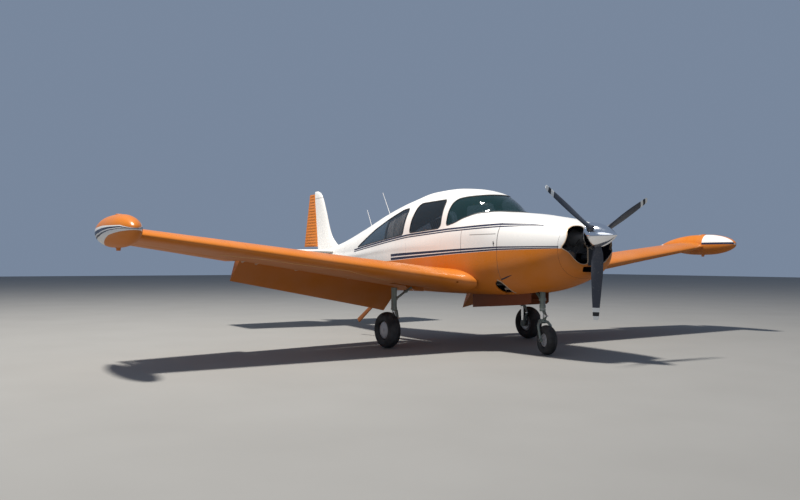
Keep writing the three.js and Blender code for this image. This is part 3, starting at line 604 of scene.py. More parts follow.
def body_rings(x, inset=0.0):
    angle = 2 * math.pi * np.arange(AROUND) / AROUND
    middle, reach = body_reach(x, angle)
    reach = reach - inset
    across, height = reach * np.cos(angle), middle[:, None] + reach * np.sin(angle)
    return np.stack([np.broadcast_to(x[:, None], reach.shape), across, height], axis=-1)


ALONG = [BODY[0, 0]]
for low_x, high_x in zip(BODY[:-1, 0], BODY[1:, 0]):
    ALONG += list(np.linspace(low_x, high_x, max(5, math.ceil((high_x - low_x) / 0.036)) + 1)[1:])
ALONG = np.array(ALONG)


def hull(inset=0.0):
    x = np.unique(np.clip(ALONG, ALONG[0] + inset, ALONG[-1] - inset))
    return loft("hull", body_rings(x, inset))


def shell(outside, inside):
    return cut(hull(outside), hull(inside))


def depth_under_skin(points):
    """How far each point lies inside the body's surface."""
    points = np.asarray(points, float)
    section = smooth_rows(BODY, np.clip(points[:, 0], BODY[0, 0], BODY[-1, 0]))
    rise = points[:, 2] - section[:, 3]
    reach = body_reach(points[:, 0], np.arctan2(rise, points[:, 1])[:, None])[1][:, 0]
    return reach - np.hypot(rise, points[:, 1])


# The flat ends at nose and tail lie deep under the curved surface, but they are outside
FLAT_ENDS = (-3.690, 3.700)


def line_inside(piece, material, deeper=0.009):
    """Gives the faces on the inner side of a skin a second material."""
    piece.data.materials.append(material)
    centres = np.array([face.center for face in piece.data.polygons])
    for face, depth in zip(piece.data.polygons, depth_under_skin(centres)):
        between_ends = FLAT_ENDS[0] < face.center.x < FLAT_ENDS[1]
        face.material_index = int(depth > deeper and between_ends)


def surface_y(x, z, side):
    """Where the body's side lies at a place along it and a height."""
    low, high = -1.5, 1.5
    for _ in range(40):
        angle = (low + high) / 2
        middle, reach = body_reach(np.array([x]), np.array([angle]))
        if middle[0] + reach[0, 0] * math.sin(angle) < z:
            low = angle
        else:
            high = angle
    return side * reach[0, 0] * math.cos(angle)


print("body surface:", len(ALONG), "sections of", AROUND, "points")

# %% [markdown]
# Windows, doors and inlets start as outlines of a few points. Real ones have rounded corners, so each
# corner becomes a short curve. A second helper moves an outline in or out, for seals and lips.

# %% Outlines
def rounded(outline, reach=0.05, steps=6):
    """The outline with each corner replaced by a curve that starts and ends a reach away from it."""
    points = [Vector(p) * MM for p in outline]
    smooth = []
    for i, corner in enumerate(points):
        before, after = points[i - 1], points[(i + 1) % len(points)]
        near = min(reach, 0.48 * (before - corner).length, 0.48 * (after - corner).length)
        start = corner + (before - corner).normalized() * near
        end = corner + (after - corner).normalized() * near
        for k in range(steps + 1):
            t = k / steps
            smooth.append(tuple(start * (1 - t) ** 2 + corner * 2 * t * (1 - t) + end * t * t))
    return smooth


def grown(outline, distance):
    """The outline moved outward by a distance, or inward where it is negative."""
    points = np.array(outline)
    before, after = points - np.roll(points, 1, axis=0), np.roll(points, -1, axis=0) - points
    way = before / np.maximum(np.linalg.norm(before, axis=1), 1e-9)[:, None]
    way = way + after / np.maximum(np.linalg.norm(after, axis=1), 1e-9)[:, None]
    way /= np.maximum(np.linalg.norm(way, axis=1), 1e-9)[:, None]
    turning = np.sum(points[:, 0] * np.roll(points[:, 1], -1) - points[:, 1] * np.roll(points[:, 0], -1))
    outward = np.stack([way[:, 1], -way[:, 0]], axis=1) * np.sign(turning)
    return [tuple(p) for p in points + outward * distance]


SIDE_WINDOW = rounded([(520, 1655), (1280, 1700), (1330, 1745), (1330, 2090), (1298, 2132), (700, 2112),
                       (628, 2065), (550, 1860)], 0.06)
REAR_WINDOW = rounded([(345, 1636), (-1330, 1468), (-1340, 1482), (-710, 1760), (-200, 1930), (170, 2042),
                       (350, 2058), (390, 2010)], 0.05)
WINDSCREEN = rounded([(1452, 1728), (1650, 1772), (1780, 1825), (2020, 1890), (2280, 1912), (2440, 1902),
                      (2475, 1905), (2475, 2400), (2250, 2165), (2000, 2168), (1700, 2152), (1560, 2128),
                      (1490, 2075), (1455, 1950)], 0.06)
DOOR = rounded([(452, 1290), (1360, 1340), (1360, 1720), (1386, 2185), (572, 2185), (452, 1860)], 0.05)
CHEEK_INLET = rounded([(52, 1195), (130, 1188), (200, 1195), (285, 1243), (370, 1325), (456, 1390), (425, 1450),
                       (392, 1520), (350, 1615), (240, 1672), (120, 1668), (105, 1440), (52, 1400)], 0.05)
CHIN_INLET = rounded([(-150, 1090), (150, 1090), (150, 1165), (-150, 1165)], 0.03)
WIDE = 0.9


def other_side(outline):
    return [(-a, b) for a, b in outline][::-1]


print("outlines rounded:", len(WINDSCREEN), "points on the windscreen's")

# %% [markdown]
# Now the skin is cut. It is one thin shell, from which windows, door, inlets, the nose wheel's bay and
# the outlets are taken away. Panel joints are real grooves, only as deep as a sheet is thick.

# %% The skin with its openings
FIREWALL_X, CABIN_END_X = 2.600, -1.400
SKIN, GROOVE_DEPTH, DOOR_GAP = 0.014, 0.0025, 0.003
DOOR_INNER_Y = 0.15
BAY_LOW, BAY_HIGH = (1.600, -0.150, 0.60), (2.960, 0.150, 0.904)
OUTLETS = [((2.520, side * 0.250, 0.850), (2.520, side * 0.900, 0.905)) for side, _ in SIDES]
OUTLET_RADIUS = 0.096
INLET_REACH = (3.5, 3.9)


def all_through(outline):
    return side_plate("opening", outline, -WIDE, WIDE)


def belly_openings():
    return [block("bay", BAY_LOW, BAY_HIGH)] + [rod("outlet", a, b, OUTLET_RADIUS, 40) for a, b in OUTLETS]


skin = shell(0.0, SKIN)
cut(skin, *[all_through(outline) for outline in (SIDE_WINDOW, REAR_WINDOW, WINDSCREEN)])
cut(skin, *[front_plate("inlet", outline, *INLET_REACH)
            for outline in (CHEEK_INLET, other_side(CHEEK_INLET), CHIN_INLET)], *belly_openings())

# Columns: two opposite corners of a thin block, in metres
SEAMS = [
    ((1.847, -WIDE, 1.345), (1.853, WIDE, 1.640)),
    ((2.040, -WIDE, 1.586), (2.560, -0.30, 1.5905)), ((2.040, 0.30, 1.586), (2.560, WIDE, 1.5905)),
    ((3.588, -WIDE, 0.90), (3.591, WIDE, 1.80)), ((2.603, -0.0015, 1.7), (3.588, 0.0015, 1.9)),
    ((-1.999, -WIDE, 1.0), (-1.996, WIDE, 1.9)), ((-2.699, -WIDE, 1.0), (-2.696, WIDE, 1.9)),
    ((0.449, -WIDE, 1.262), (0.4515, 0.0, 1.60)),
]
seam_blocks = joined("seams", [block("seam", low, high) for low, high in SEAMS])
cut(skin, cut(seam_blocks, hull(GROOVE_DEPTH)))

below_edge = side_plate("below", [(-4.2, 0.2), (4.2, 0.2), (4.2, 1.392), *PAINT_EDGE[::-1], (-4.2, 1.07)],
                        -WIDE, WIDE)
door_room = side_plate("door_room", grown(DOOR, DOOR_GAP), DOOR_INNER_Y, WIDE)
door_plate = side_plate("door", DOOR, DOOR_INNER_Y, WIDE)
cowl = common(twin(skin, "cowl"), block("front", (FIREWALL_X + 0.005, -1, 0), (4, 1, 3)))
tailcone = common(twin(skin, "skin_tailcone"), block("aft", (-4, -1, 0), (CABIN_END_X - 0.001, 1, 3)))
cabin = common(skin, block("middle", (CABIN_END_X, -1, 0), (FIREWALL_X, 1, 3)))
door = common(twin(cabin, "door_skin"), door_plate)
cut(cabin, door_room)
cowl_low = common(twin(cowl, "cowl_skin_lower"), below_edge, keep=True)
cabin_low = common(twin(cabin, "cabin_skin_lower"), below_edge, keep=True)
cut(cowl, below_edge, keep=True)
cut(cabin, below_edge)
cowl.name, cabin.name = "cowl_skin_upper", "cabin_skin_upper"


def nose_paint():
    """Orange, with painted shade on the narrow web between the two inlets."""
    paint = Finish("nose_enamel")
    web = paint.math("LESS_THAN", paint.math("ABSOLUTE", paint.y), 0.060)
    for axis, limit in ((paint.x, 3.690), (paint.z, 1.175)):
        web = paint.math("MULTIPLY", web, paint.math("GREATER_THAN", axis, limit))
    # The near-black web is painted shade, where the spinner and the blade roots shade the nose.
    return gloss(paint, paint.mix(web, aged(paint, ORANGE), (0.014, 0.014, 0.018))).material


# Columns: piece, paint, lining, body, slot, CAD node
SKINS = [
    # The cowl pieces are lined with near-black painted shade.
    (cowl, white_paint, dark_void, "airframe", "white_paint", "cowl_upper"),
    (cowl_low, nose_paint(), dark_void, "airframe", "orange_paint", "cowl_lower"),
    (cabin, white_paint, headliner, "airframe", "white_paint", "cabin_upper"),
    (cabin_low, orange_paint, headliner, "airframe", "orange_paint", "cabin_lower"),
    (tailcone, white_paint, headliner, "airframe", "white_paint", "tailcone"),
    (door, white_paint, headliner, "door", "white_paint", "cabin_door"),
]
for piece, paint, lining, body, slot, node in SKINS:
    dress(piece, paint, body, [node])
    line_inside(piece, lining)
    print(piece.name, len(piece.data.polygons), "faces")

# %% [markdown]
# Aircraft windows are bent acrylic sheet, a few millimetres thick, set in a rubber seal. Tinted,
# partly clear glass shows the dark cabin and still catches a highlight, and it renders with
# little noise.

# %% Windows and seals
INNER_POST_X = -0.272


def glazing(name, tint, clear, aft_tint=None):
    """aft_tint, where given, colours the part behind the window's inner post."""
    glass = Finish(name)
    if aft_tint:
        tint = glass.mix(glass.math("LESS_THAN", glass.x, INNER_POST_X), tint, aft_tint)
    glass.set(Base_Color=tint, Metallic=0.0, IOR=1.55, Specular_IOR_Level=0.6, Alpha=clear)
    glass.set(Coat_Weight=1.0, Coat_Roughness=0.02)
    glass.set(Roughness=glass.ramp(glass.noise(30.0), 0.3, 0.7, 0.02, 0.07))
    glass.bump(glass.noise(2.0, 1.0), 0.004, 0.12)
    return glass.material


side_glass = glazing("grey_acrylic", (0.012, 0.016, 0.018), 0.45)
clear_glass = glazing("tinted_acrylic", (0.005, 0.028, 0.028), 0.50)
dark_glass = glazing("smoked_acrylic", (0.012, 0.018, 0.022), 0.42, (0.075, 0.115, 0.16))

pane_shell = shell(0.004, 0.0085)
seal_shell = shell(-0.0015, 0.016)
# Columns: name, outline, lowest and highest y, body, CAD node, glass
PANES = [
    ("screen_pane", WINDSCREEN, -WIDE, WIDE, "airframe", "windscreen", clear_glass),
    ("side_pane_right", SIDE_WINDOW, -WIDE, 0.0, "airframe", "side_window_right", side_glass),
    ("side_pane_left", SIDE_WINDOW, 0.0, WIDE, "door", "door_window", side_glass),
    ("rear_pane_right", REAR_WINDOW, -WIDE, 0.0, "airframe", "rear_window_right", dark_glass),
    ("rear_pane_left", REAR_WINDOW, 0.0, WIDE, "airframe", "rear_window_left", dark_glass),
]
for name, outline, low_y, high_y, body, node, glass in PANES:
    pane = common(twin(pane_shell, name), side_plate("pane", grown(outline, -0.003), low_y, high_y))
    dress(pane, glass, body, [node])
    ring = cut(side_plate("ring", grown(outline, 0.004), low_y, high_y),
               side_plate("hole", grown(outline, -0.010), low_y - 0.1, high_y + 0.1))
    seal = common(twin(seal_shell, name.replace("pane", "seal")), ring)
    dress(seal, black_trim, body)
drop(pane_shell, seal_shell)
print("windows:", len(PANES))

# %% [markdown]
# A wing is one section swept along a line that leans back and rises. The solids used a few straight
# steps; the skin here follows the same sections with many points, so that a reflection runs
# smoothly round the leading edge. Where it meets the body, a rounded glove reaches forward.

# %% The wing's sections
WING_LEAD, WING_SWEEP, WING_RISE = (1.991, 0.870), math.tan(math.radians(3)), math.tan(math.radians(7.2))
WING_TIP_Y, CAMBER, HINGE_SHARE = 5.035, 0.035, 0.7
# At the middle of the aircraft and at the tip
CHORD, TWIST, THICKNESS = (2.190, 1.190), (4.2, 2.7), (0.15, 0.12)
# Columns: distance out, length added in front
GLOVE = np.array([(0.540, 0.175), (0.620, 0.145), (0.720, 0.080), (0.850, 0.028), (0.980, 0.0), (1.2, 0.0)])
GLOVE_IN, GLOVE_OUT = 0.54, 1.2


def wing_at(y):
    t = y / WING_TIP_Y
    extra = smooth_rows(GLOVE, np.array([min(max(y, GLOVE_IN), GLOVE_OUT)]))[0, 0]
    return {"x": WING_LEAD[0] - WING_SWEEP * y + extra, "z": WING_LEAD[1] + WING_RISE * y - extra * 0.06,
            "chord": blend(*CHORD, t) + extra, "turn": math.radians(blend(*TWIST, t)),
            "thick": blend(*THICKNESS, t), "y": y}


def on_section(s, along, rise):
    """A point of a section: distance back along its chord, and height square to it."""
    return (s["x"] - along * math.cos(s["turn"]) + rise * math.sin(s["turn"]), s["y"],
            s["z"] - along * math.sin(s["turn"]) + rise * math.cos(s["turn"]))


def airfoil(share, thick, camber=CAMBER):
    """Half thickness and middle line of a classic four-digit section, per metre of chord."""
    half = 5 * thick * (0.2969 * math.sqrt(share) - 0.126 * share - 0.3516 * share ** 2
                        + 0.2843 * share ** 3 - 0.1036 * share ** 4)
    peak = 0.4
    if share < peak:
        return half, camber / peak ** 2 * (2 * peak * share - share ** 2)
    return half, camber / (1 - peak) ** 2 * (1 - 2 * peak + 2 * peak * share - share ** 2)


def airfoil_ring(s, points=34, grow=0.0):
    shares = [(1 - math.cos(math.pi * k / points)) / 2 for k in range(points + 1)]
    ring = []
    for share, side in [(share, 1) for share in shares] + [(share, -1) for share in shares[1:]][::-1]:
        half, line = airfoil(share, s["thick"])
        edge = 0.0012 if share > 0.999 else 0.0
        rise = line * s["chord"] + side * (half * s["chord"] + grow + edge)
        ring.append(on_section(s, share * s["chord"], rise))
    return ring


def wing_blank(grow=0.0):
    out = [GLOVE_IN + 0.46 * k / 14 for k in range(15)]
    out += [GLOVE_OUT + (WING_TIP_Y - GLOVE_OUT) * k / 16 for k in range(17)]
    return loft("wing_blank", [airfoil_ring(wing_at(y), grow=grow) for y in out])


print("wing chord at the root", round(wing_at(0.98)["chord"], 3), "m")

# %% [markdown]
# The tip tank is turned like a spindle. The solids gave its outline at eleven places, and a smooth
# curve through the same places takes away the facets.

# %% The tank's shape
TANK_Y, TANK_Z, TANK_NOSE, TANK_TAIL, TANK_RADIUS = 5.162, 1.543, 2.265, 0.690, 0.183
# Columns: share of the length from the nose, share of the radius
TANK_SHAPE = np.array([(0, 0), (0.02, 0.3), (0.07, 0.55), (0.16, 0.8), (0.28, 0.96), (0.4, 1), (0.55, 0.97),
                       (0.7, 0.82), (0.85, 0.53), (0.95, 0.22), (1, 0)])


def tank_hull(grow=0.0):
    shares = np.array([(1 - math.cos(math.pi * k / 56)) / 2 for k in range(57)])
    # A curve through the squared widths keeps the nose blunt and round
    width = np.sqrt(np.clip(smooth_rows(TANK_SHAPE ** np.array([1, 2]), shares)[:, 0], 0, None))
    length = TANK_NOSE - TANK_TAIL
    profile = [(-share * length, w * (TANK_RADIUS + grow)) for share, w in zip(shares, width)]
    profile[0] = (profile[0][0] + grow, profile[0][1])
    return turned("tank", profile, (TANK_NOSE, TANK_Y, TANK_Z), (1, 0, 0), 72)


print("tank length", round(TANK_NOSE - TANK_TAIL, 3), "m")

# %% [markdown]
# Flap and aileron each have a round nose about a hinge line and a thin tail. The flap hangs at 45
# degrees. The wing gets rooms behind the hinge, so that each surface can move.

# %% Flap, aileron and wing
FLAP_OUT, AILERON_OUT, FLAP_DOWN = (0.750, 3.400), (3.424, 4.900), 45
ROOM_GAP, TAIL_EDGE = 0.018, 0.0015
WHEEL_X, LEG_Y, WELL_Y = 1.124, 1.222, 0.690
WELL_LOW, WELL_HIGH, WELL_RADIUS = 0.6, 0.95, 0.285
SKIN_JOINTS_Y, JOINT_DEPTH = (1.48, 2.60, 3.72), 0.0022


def hinge_nose(y):
    s = wing_at(y)
    half, line = airfoil(HINGE_SHARE, s["thick"])
    radius = half * s["chord"]
    return s, radius, on_section(s, HINGE_SHARE * s["chord"] + radius, line * s["chord"])


def surface_ring(y):
    s, radius, centre = hinge_nose(y)
    tail = on_section(s, s["chord"], 0)
    ring = []
    for k in range(19):
        a = math.pi / 2 + k / 18 * math.pi + s["turn"]
        ring.append((centre[0] - math.cos(a) * radius, y, centre[2] + math.sin(a) * radius))
    low, top = Vector(ring[-1]), Vector(ring[0])
    end, edge = Vector((tail[0], y, tail[2])), Vector((0, 0, TAIL_EDGE))
    ring += [tuple(low.lerp(end - edge, t)) for t in (0.25, 0.5, 0.75, 1.0)]
    ring += [tuple((end + edge).lerp(top, t)) for t in (0.0, 0.25, 0.5, 0.75)]
    return ring


def surface(name, out, rows=12):
    return loft(name, [surface_ring(out[0] + (out[1] - out[0]) * k / rows) for k in range(rows + 1)])


def hinge_room(out):
    rings = []
    for y in (out[0] - ROOM_GAP, out[1] + ROOM_GAP):
        s = wing_at(y)
        start, end = HINGE_SHARE * s["chord"] - 0.009, s["chord"] + 0.3
        rings.append([on_section(s, a, u) for a, u in ((start, -0.4), (start, 0.4), (end, 0.4), (end, -0.4))])
    return loft("room", rings)


def lowered(flap):
    """The flap turned down about the line through its nose."""
    pivot, far = (Vector(hinge_nose(y)[2]) for y in FLAP_OUT)
    turn = Matrix.Rotation(-math.radians(FLAP_DOWN), 4, (far - pivot).normalized())
    flap.data.transform(Matrix.Translation(pivot) @ turn @ Matrix.Translation(-pivot))
    return flap


wing = wing_blank()
well = cut(rod("well", (WHEEL_X, WELL_Y, WELL_LOW), (WHEEL_X, WELL_Y, WELL_HIGH), WELL_RADIUS, 64),
           block("trench", (WHEEL_X - 0.075, WELL_Y, WELL_LOW), (WHEEL_X + 0.075, LEG_Y + 0.06, WELL_HIGH)),
           how="UNION")
cut(wing, tank_hull(0.0004), well, hinge_room(FLAP_OUT), hinge_room(AILERON_OUT))
joints = joined("joints", [block("joint", (0.2, y - 0.0012, 0), (2.4, y + 0.0012, 3)) for y in SKIN_JOINTS_Y])
cut(wing, cut(joints, wing_blank(-JOINT_DEPTH)))
vent = rod("vent", (2.02, 0.770, 0.943), (1.93, 0.770, 0.945), 0.013, 24)
cut(wing, hull(-0.0004), vent)
wing.name = "wing_skin_left"
wings = wing, mirrored(wing, "wing_skin_right")
flap, aileron = lowered(surface("flap_skin_left", FLAP_OUT)), surface("aileron_skin_left", AILERON_OUT)
flaps, ailerons = (flap, mirrored(flap, "flap_skin_right")), (aileron, mirrored(aileron, "aileron_skin_right"))
for kind, pair in (("wing", wings), ("flap", flaps), ("aileron", ailerons)):
    for (_, name), piece in zip(SIDES, pair):
        body = "airframe" if kind == "wing" else f"{kind}_{name}"
        dress(piece, orange_paint, body, [f"{kind}_{name}"])
print("wing skins:", len(wing.data.polygons), "faces a side")

# %% [markdown]
# The tank is painted in three fields: orange above, orange below, and between them a white band that
# opens towards the tail, with thin dark lines in it. The shader compares heights again, this time
# along the tank's own length. The side that faces the body has a white field in front instead.

# %% Tank paint and tanks
# Points of (x, height): upper and lower edge of the white band
BAND_TOP = [(0.69, 1.560), (1.60, 1.598), (2.10, 1.590), (2.265, 1.556)]
BAND_FOOT = [(0.69, 1.30), (1.45, 1.405), (1.84, 1.491), (2.10, 1.522), (2.265, 1.535)]
# Share of the band's height, from its upper edge, that each dark line covers
BAND_LINES = [(0.16, 0.36), (0.46, 0.56)]
# Where the inner side's white field starts, its foot, and the upper edge of the line along it
FIELD_X, FIELD_Z, FIELD_LINE_Z = 1.70, 1.542, 1.578
INNER_SIDE = (0.105 - TANK_Y, TANK_Y - 0.035)


def tank_paint():
    paint = Finish("tank_enamel")
    top, foot = paint.curve(paint.x, BAND_TOP), paint.curve(paint.x, BAND_FOOT)
    under_top = paint.math("LESS_THAN", paint.z, top)
    band = paint.math("MULTIPLY", under_top, paint.math("GREATER_THAN", paint.z, foot))
    depth = paint.math("DIVIDE", paint.math("SUBTRACT", top, paint.z), paint.math("SUBTRACT", top, foot))
    lines = paint.math("ADD", *[paint.between(depth, *line) for line in BAND_LINES])
    orange = aged(paint, ORANGE)
    outer = paint.mix(paint.math("MULTIPLY", lines, band), paint.mix(band, orange, WHITE), NAVY)
    front = paint.math("GREATER_THAN", paint.x, FIELD_X)
    field = paint.math("MULTIPLY", front, paint.math("GREATER_THAN", paint.z, FIELD_Z))
    line = paint.math("MULTIPLY", front, paint.between(paint.z, FIELD_Z, FIELD_LINE_Z))
    inner = paint.mix(line, paint.mix(field, orange, WHITE), NAVY)
    return gloss(paint, paint.mix(paint.between(paint.y, *INNER_SIDE), outer, inner)).material


tank_finish = tank_paint()
drain = rod("drain", (1.60, TANK_Y, TANK_Z - 0.165), (1.60, TANK_Y, TANK_Z - 0.215), 0.030, 24, 0.022)
cap = turned("cap", [(0, 0.040), (0.006, 0.040), (0.010, 0.034), (0.010, 0.0)],
             (1.62, TANK_Y, TANK_Z + 0.178), (0, 0, 1), 32)
tank = cut(tank_hull(), drain, cap, how="UNION")
tank.name = "tank_skin_left"
tank_right = mirrored(tank, "tank_skin_right")
for (_, name), piece in zip(SIDES, (tank, tank_right)):
    dress(piece, tank_finish, "airframe", [f"tip_tank_{name}"])
print("tanks made")

# %% [markdown]
# The fin and stabiliser are thin wings too. Each is lofted from one section, whose half width is
# given by a short table. The fin's tip is a separate moulding, so a dark joint line crosses it.

# %% Fin and stabiliser
TAIL_Z, TAIL_SPAN, TAIL_HINGE_X = 1.416, 2.010, -3.560
RUDDER_FOOT, RUDDER_HEAD = 1.520, 2.570
# Columns: height, leading edge x, half width
FIN = np.array([(1.430, -2.450, 0.050), (1.540, -2.720, 0.050), (1.620, -2.840, 0.047), (1.700, -2.935, 0.044),
                (2.200, -3.180, 0.034), (2.480, -3.325, 0.028), (2.580, -3.420, 0.020), (2.620, -3.530, 0.008)])
# Columns: share of the length, share of the half width
SPINE = [(0, 0), (0.03, 0.45), (0.12, 0.8), (0.35, 1), (0.7, 0.85), (1, 0.6)]
SLAB = [(0, 0), (0.02, 0.42), (0.08, 0.75), (0.3, 1), (0.65, 0.9), (1, 0.62)]


def outline_of(shape, points=26):
    """A section from its table, with more points near the front, where it turns quickest."""
    shares = np.array([(k / points) ** 2 for k in range(points + 1)])
    squared = np.array(shape, float) ** np.array([1, 2])
    return [(share, math.sqrt(max(w, 0))) for share, w in zip(shares, smooth_rows(squared, shares)[:, 0])]


def slab_ring(at, front, back, depth, shape):
    """Points round a thin section; at(along, out) places them."""
    side = [(front + (back - front) * s, w * depth) for s, w in outline_of(shape)]
    return [at(x, w) for x, w in side] + [at(x, -w) for x, w in side[1:]][::-1]


def up_rudder(z, foot, head):
    return foot + (z - RUDDER_FOOT) * (head - foot) / (RUDDER_HEAD - RUDDER_FOOT)


def rudder_axis(z):
    return up_rudder(z, -3.508, -3.675)


def fin_ring(z):
    lead, width = smooth_rows(FIN, np.array([z]))[0]
    return slab_ring(lambda x, y: (x, y, z), lead, rudder_axis(z) + 0.031, width, SPINE)


def stabilizer_ring(y):
    t = abs(y) / TAIL_SPAN
    front, depth = blend(-2.560, -2.800, t), blend(0.038, 0.024, t)
    return slab_ring(lambda x, z: (x, y, TAIL_Z + z), front, TAIL_HINGE_X + 0.009, depth, SLAB)


def fin_paint():
    paint = Finish("fin_enamel")
    leaning = paint.math("SUBTRACT", paint.z, paint.math("MULTIPLY", paint.x, 0.0333))
    tip_joint = paint.between(leaning, 2.590, 2.599)
    return gloss(paint, paint.mix(tip_joint, aged(paint, WHITE, 0.04), (0.16, 0.15, 0.15))).material


heights = np.concatenate([np.linspace(1.43, 2.48, 24), np.linspace(2.50, 2.62, 14)])
fin = cut(loft("fin_skin", [fin_ring(z) for z in heights]), hull(-0.0004))
stabilizer = loft("stabilizer_skin", [stabilizer_ring(y) for y in np.linspace(-TAIL_SPAN, TAIL_SPAN, 31)])
dress(fin, fin_paint(), "airframe", ["fin"])
dress(stabilizer, plain_white, "airframe", ["stabilizer"])
print("fin", len(fin.data.polygons), "faces, stabiliser", len(stabilizer.data.polygons))

# %% [markdown]
# The rudder is made of soft sheet that is pressed into rows of beads to stiffen it. In low sun each
# bead shows as a light and a dark line, so the beads are modelled and not painted.

# %% The beaded rudder
RUDDER_BEADS, STEPS_PER_BEAD, THIN_TAIL = 18, 8, 0.002


def beaded_ring(at, axis, end, nose, step, press):
    """Points round a section with a round nose and pressed flanks; at(along, out) places them."""
    bead = 0.5 + 0.5 * math.cos(2 * math.pi * step)
    arc = [(axis - 0.002 + math.cos(a) * nose, math.sin(a) * nose)
           for a in (math.pi / 2 - k / 8 * math.pi for k in range(9))]
    flank = []
    for share in (0.12, 0.2, 0.3, 0.5, 0.7, 0.88):
        depth = nose * (1 - share) + THIN_TAIL * share
        sink = press * bead * min(1, (share - 0.05) / 0.1, (1.0 - share) / 0.15)
        flank.append((axis + (end - axis) * share, max(depth - sink, 0.0015)))
    return ([at(x, w) for x, w in arc] + [at(x, -w) for x, w in flank]
            + [at(end, -THIN_TAIL), at(end, THIN_TAIL)] + [at(x, w) for x, w in flank[::-1]])


def rudder_ring(z, step):
    nose, end = up_rudder(z, 0.024, 0.016), up_rudder(z, -4.120, -3.880)
    return beaded_ring(lambda x, y: (x, y, z), rudder_axis(z), end, nose, step, 0.0065)


def beaded_loft(name, ring, low, high, beads):
    steps = [k / STEPS_PER_BEAD for k in range(beads * STEPS_PER_BEAD + 1)]
    return loft(name, [ring(low + (high - low) * step / beads, step) for step in steps])


rudder = beaded_loft("rudder_skin", rudder_ring, RUDDER_FOOT, RUDDER_HEAD, RUDDER_BEADS)
dress(rudder, orange_paint, "rudder", ["rudder"], 40)
print("rudder beads:", RUDDER_BEADS)

# %% [markdown]
# The propeller's sections are set at a steep angle near the hub and flatten towards the tip. Each
# blade is one loft through a table of sections. The paint is matt grey, and the bands at the tips
# draw a bright ring when the propeller turns.

# %% Propeller blades
PROP_X, PROP_Z, PROP_RADIUS, PROP_TURN = 3.812, 1.544, 1.036, -2.2
# How far the edges of the bands lie from the tip
BAND_EDGES = (0.048, 0.097, 0.150)
# Columns: radius, chord, thickness, angle to the plane of rotation
BLADE = np.array([(0.070, 0.078, 0.078, 45), (0.160, 0.092, 0.074, 45), (0.195, 0.120, 0.056, 44),
                  (0.300, 0.144, 0.038, 42), (0.440, 0.147, 0.026, 37), (0.600, 0.131, 0.018, 30),
                  (0.740, 0.116, 0.014, 26), (0.900, 0.094, 0.010, 22), (0.980, 0.084, 0.008, 21),
                  (1.022, 0.074, 0.006, 20), (PROP_RADIUS, 0.050, 0.004, 20)])


def blade(name, degrees):
    rings = []
    radii = np.concatenate([np.linspace(0.07, 0.96, 34), np.linspace(0.975, PROP_RADIUS, 10)])
    for radius, (chord, thickness, angle) in zip(radii, smooth_rows(BLADE, radii)):
        pitch = math.radians(angle)
        ring = []
        for k in range(32):
            a = 2 * math.pi * k / 32
            along, across = math.cos(a) * chord / 2, math.sin(a) * thickness / 2
            # Away from the round shank the front is arched and the back is nearly flat
            across *= 1.0 if math.sin(a) > 0 else 0.55 + 0.45 * max(0.0, min(1.0, (0.3 - radius) / 0.1))
            ring.append((along * math.sin(pitch) + across * math.cos(pitch),
                         -along * math.cos(pitch) + across * math.sin(pitch), radius))
        rings.append(ring)
    piece = loft(name, rings)
    turn = Matrix.Translation((PROP_X, 0, PROP_Z)) @ Matrix.Rotation(math.radians(degrees), 4, "X")
    piece.data.transform(turn)
    return piece


def blade_paint():
    paint = Finish("blade_enamel")
    rise = paint.math("SUBTRACT", paint.z, PROP_Z)
    squares = [paint.math("MULTIPLY", way, way) for way in (rise, paint.y)]
    radius = paint.math("SQRT", paint.math("ADD", *squares))
    outer, middle, inner = (PROP_RADIUS - depth for depth in BAND_EDGES)
    white = paint.math("ADD", paint.between(radius, outer, 2), paint.between(radius, inner, middle))
    chips = paint.ramp(paint.noise(55.0, 4.0), 0.60, 0.68)
    colour = paint.mix(chips, (0.046, 0.050, 0.066), (0.12, 0.12, 0.125))
    colour = paint.mix(white, colour, (0.85, 0.84, 0.80))
    colour = paint.mix(paint.between(radius, middle, outer), colour, (0.02, 0.02, 0.022))
    paint.set(Base_Color=colour, Metallic=0.1)
    paint.set(Roughness=paint.ramp(paint.noise(30.0), 0.3, 0.7, 0.36, 0.5))
    paint.bump(paint.noise(120.0), 0.0003, 0.5)
    return paint.material


blade_grey = blade_paint()
blade_angles = [180 + PROP_TURN + i * 120 for i in range(3)]
for i, degrees in enumerate(blade_angles, 1):
    dress(blade(f"blade_skin_{i}", degrees), blade_grey, "propeller", [f"blade_{i}"])
print("blades at", [round(a % 360, 1) for a in blade_angles])

# %% [markdown]
# The spinner is spun from sheet and polished until it mirrors the sky and the ground. It sits on a
# back plate with a rolled edge, and each blade passes through a round hole with a small collar.

# %% Spinner, back plate and hub
SPINNER_BASE, SPINNER_TIP, SPINNER_RADIUS, PLATE_DEPTH = 3.716, 4.120, 0.166, 0.016
SCREW_RING, SCREWS = 0.1655, 18
# Profiles list (distance along the axis, radius)
PLATE = [(0, 0.150), (0.002, 0.163), (0.006, 0.1675), (0.012, 0.1680), (0.0155, 0.1665)]
COLLAR = [(0.0, 0.047), (0.012, 0.0475), (0.016, 0.044), (0.05, 0.043)]
SCREW = [(0, 0), (0, 0.0042), (0.0014, 0.0036), (0.0018, 0.0)]

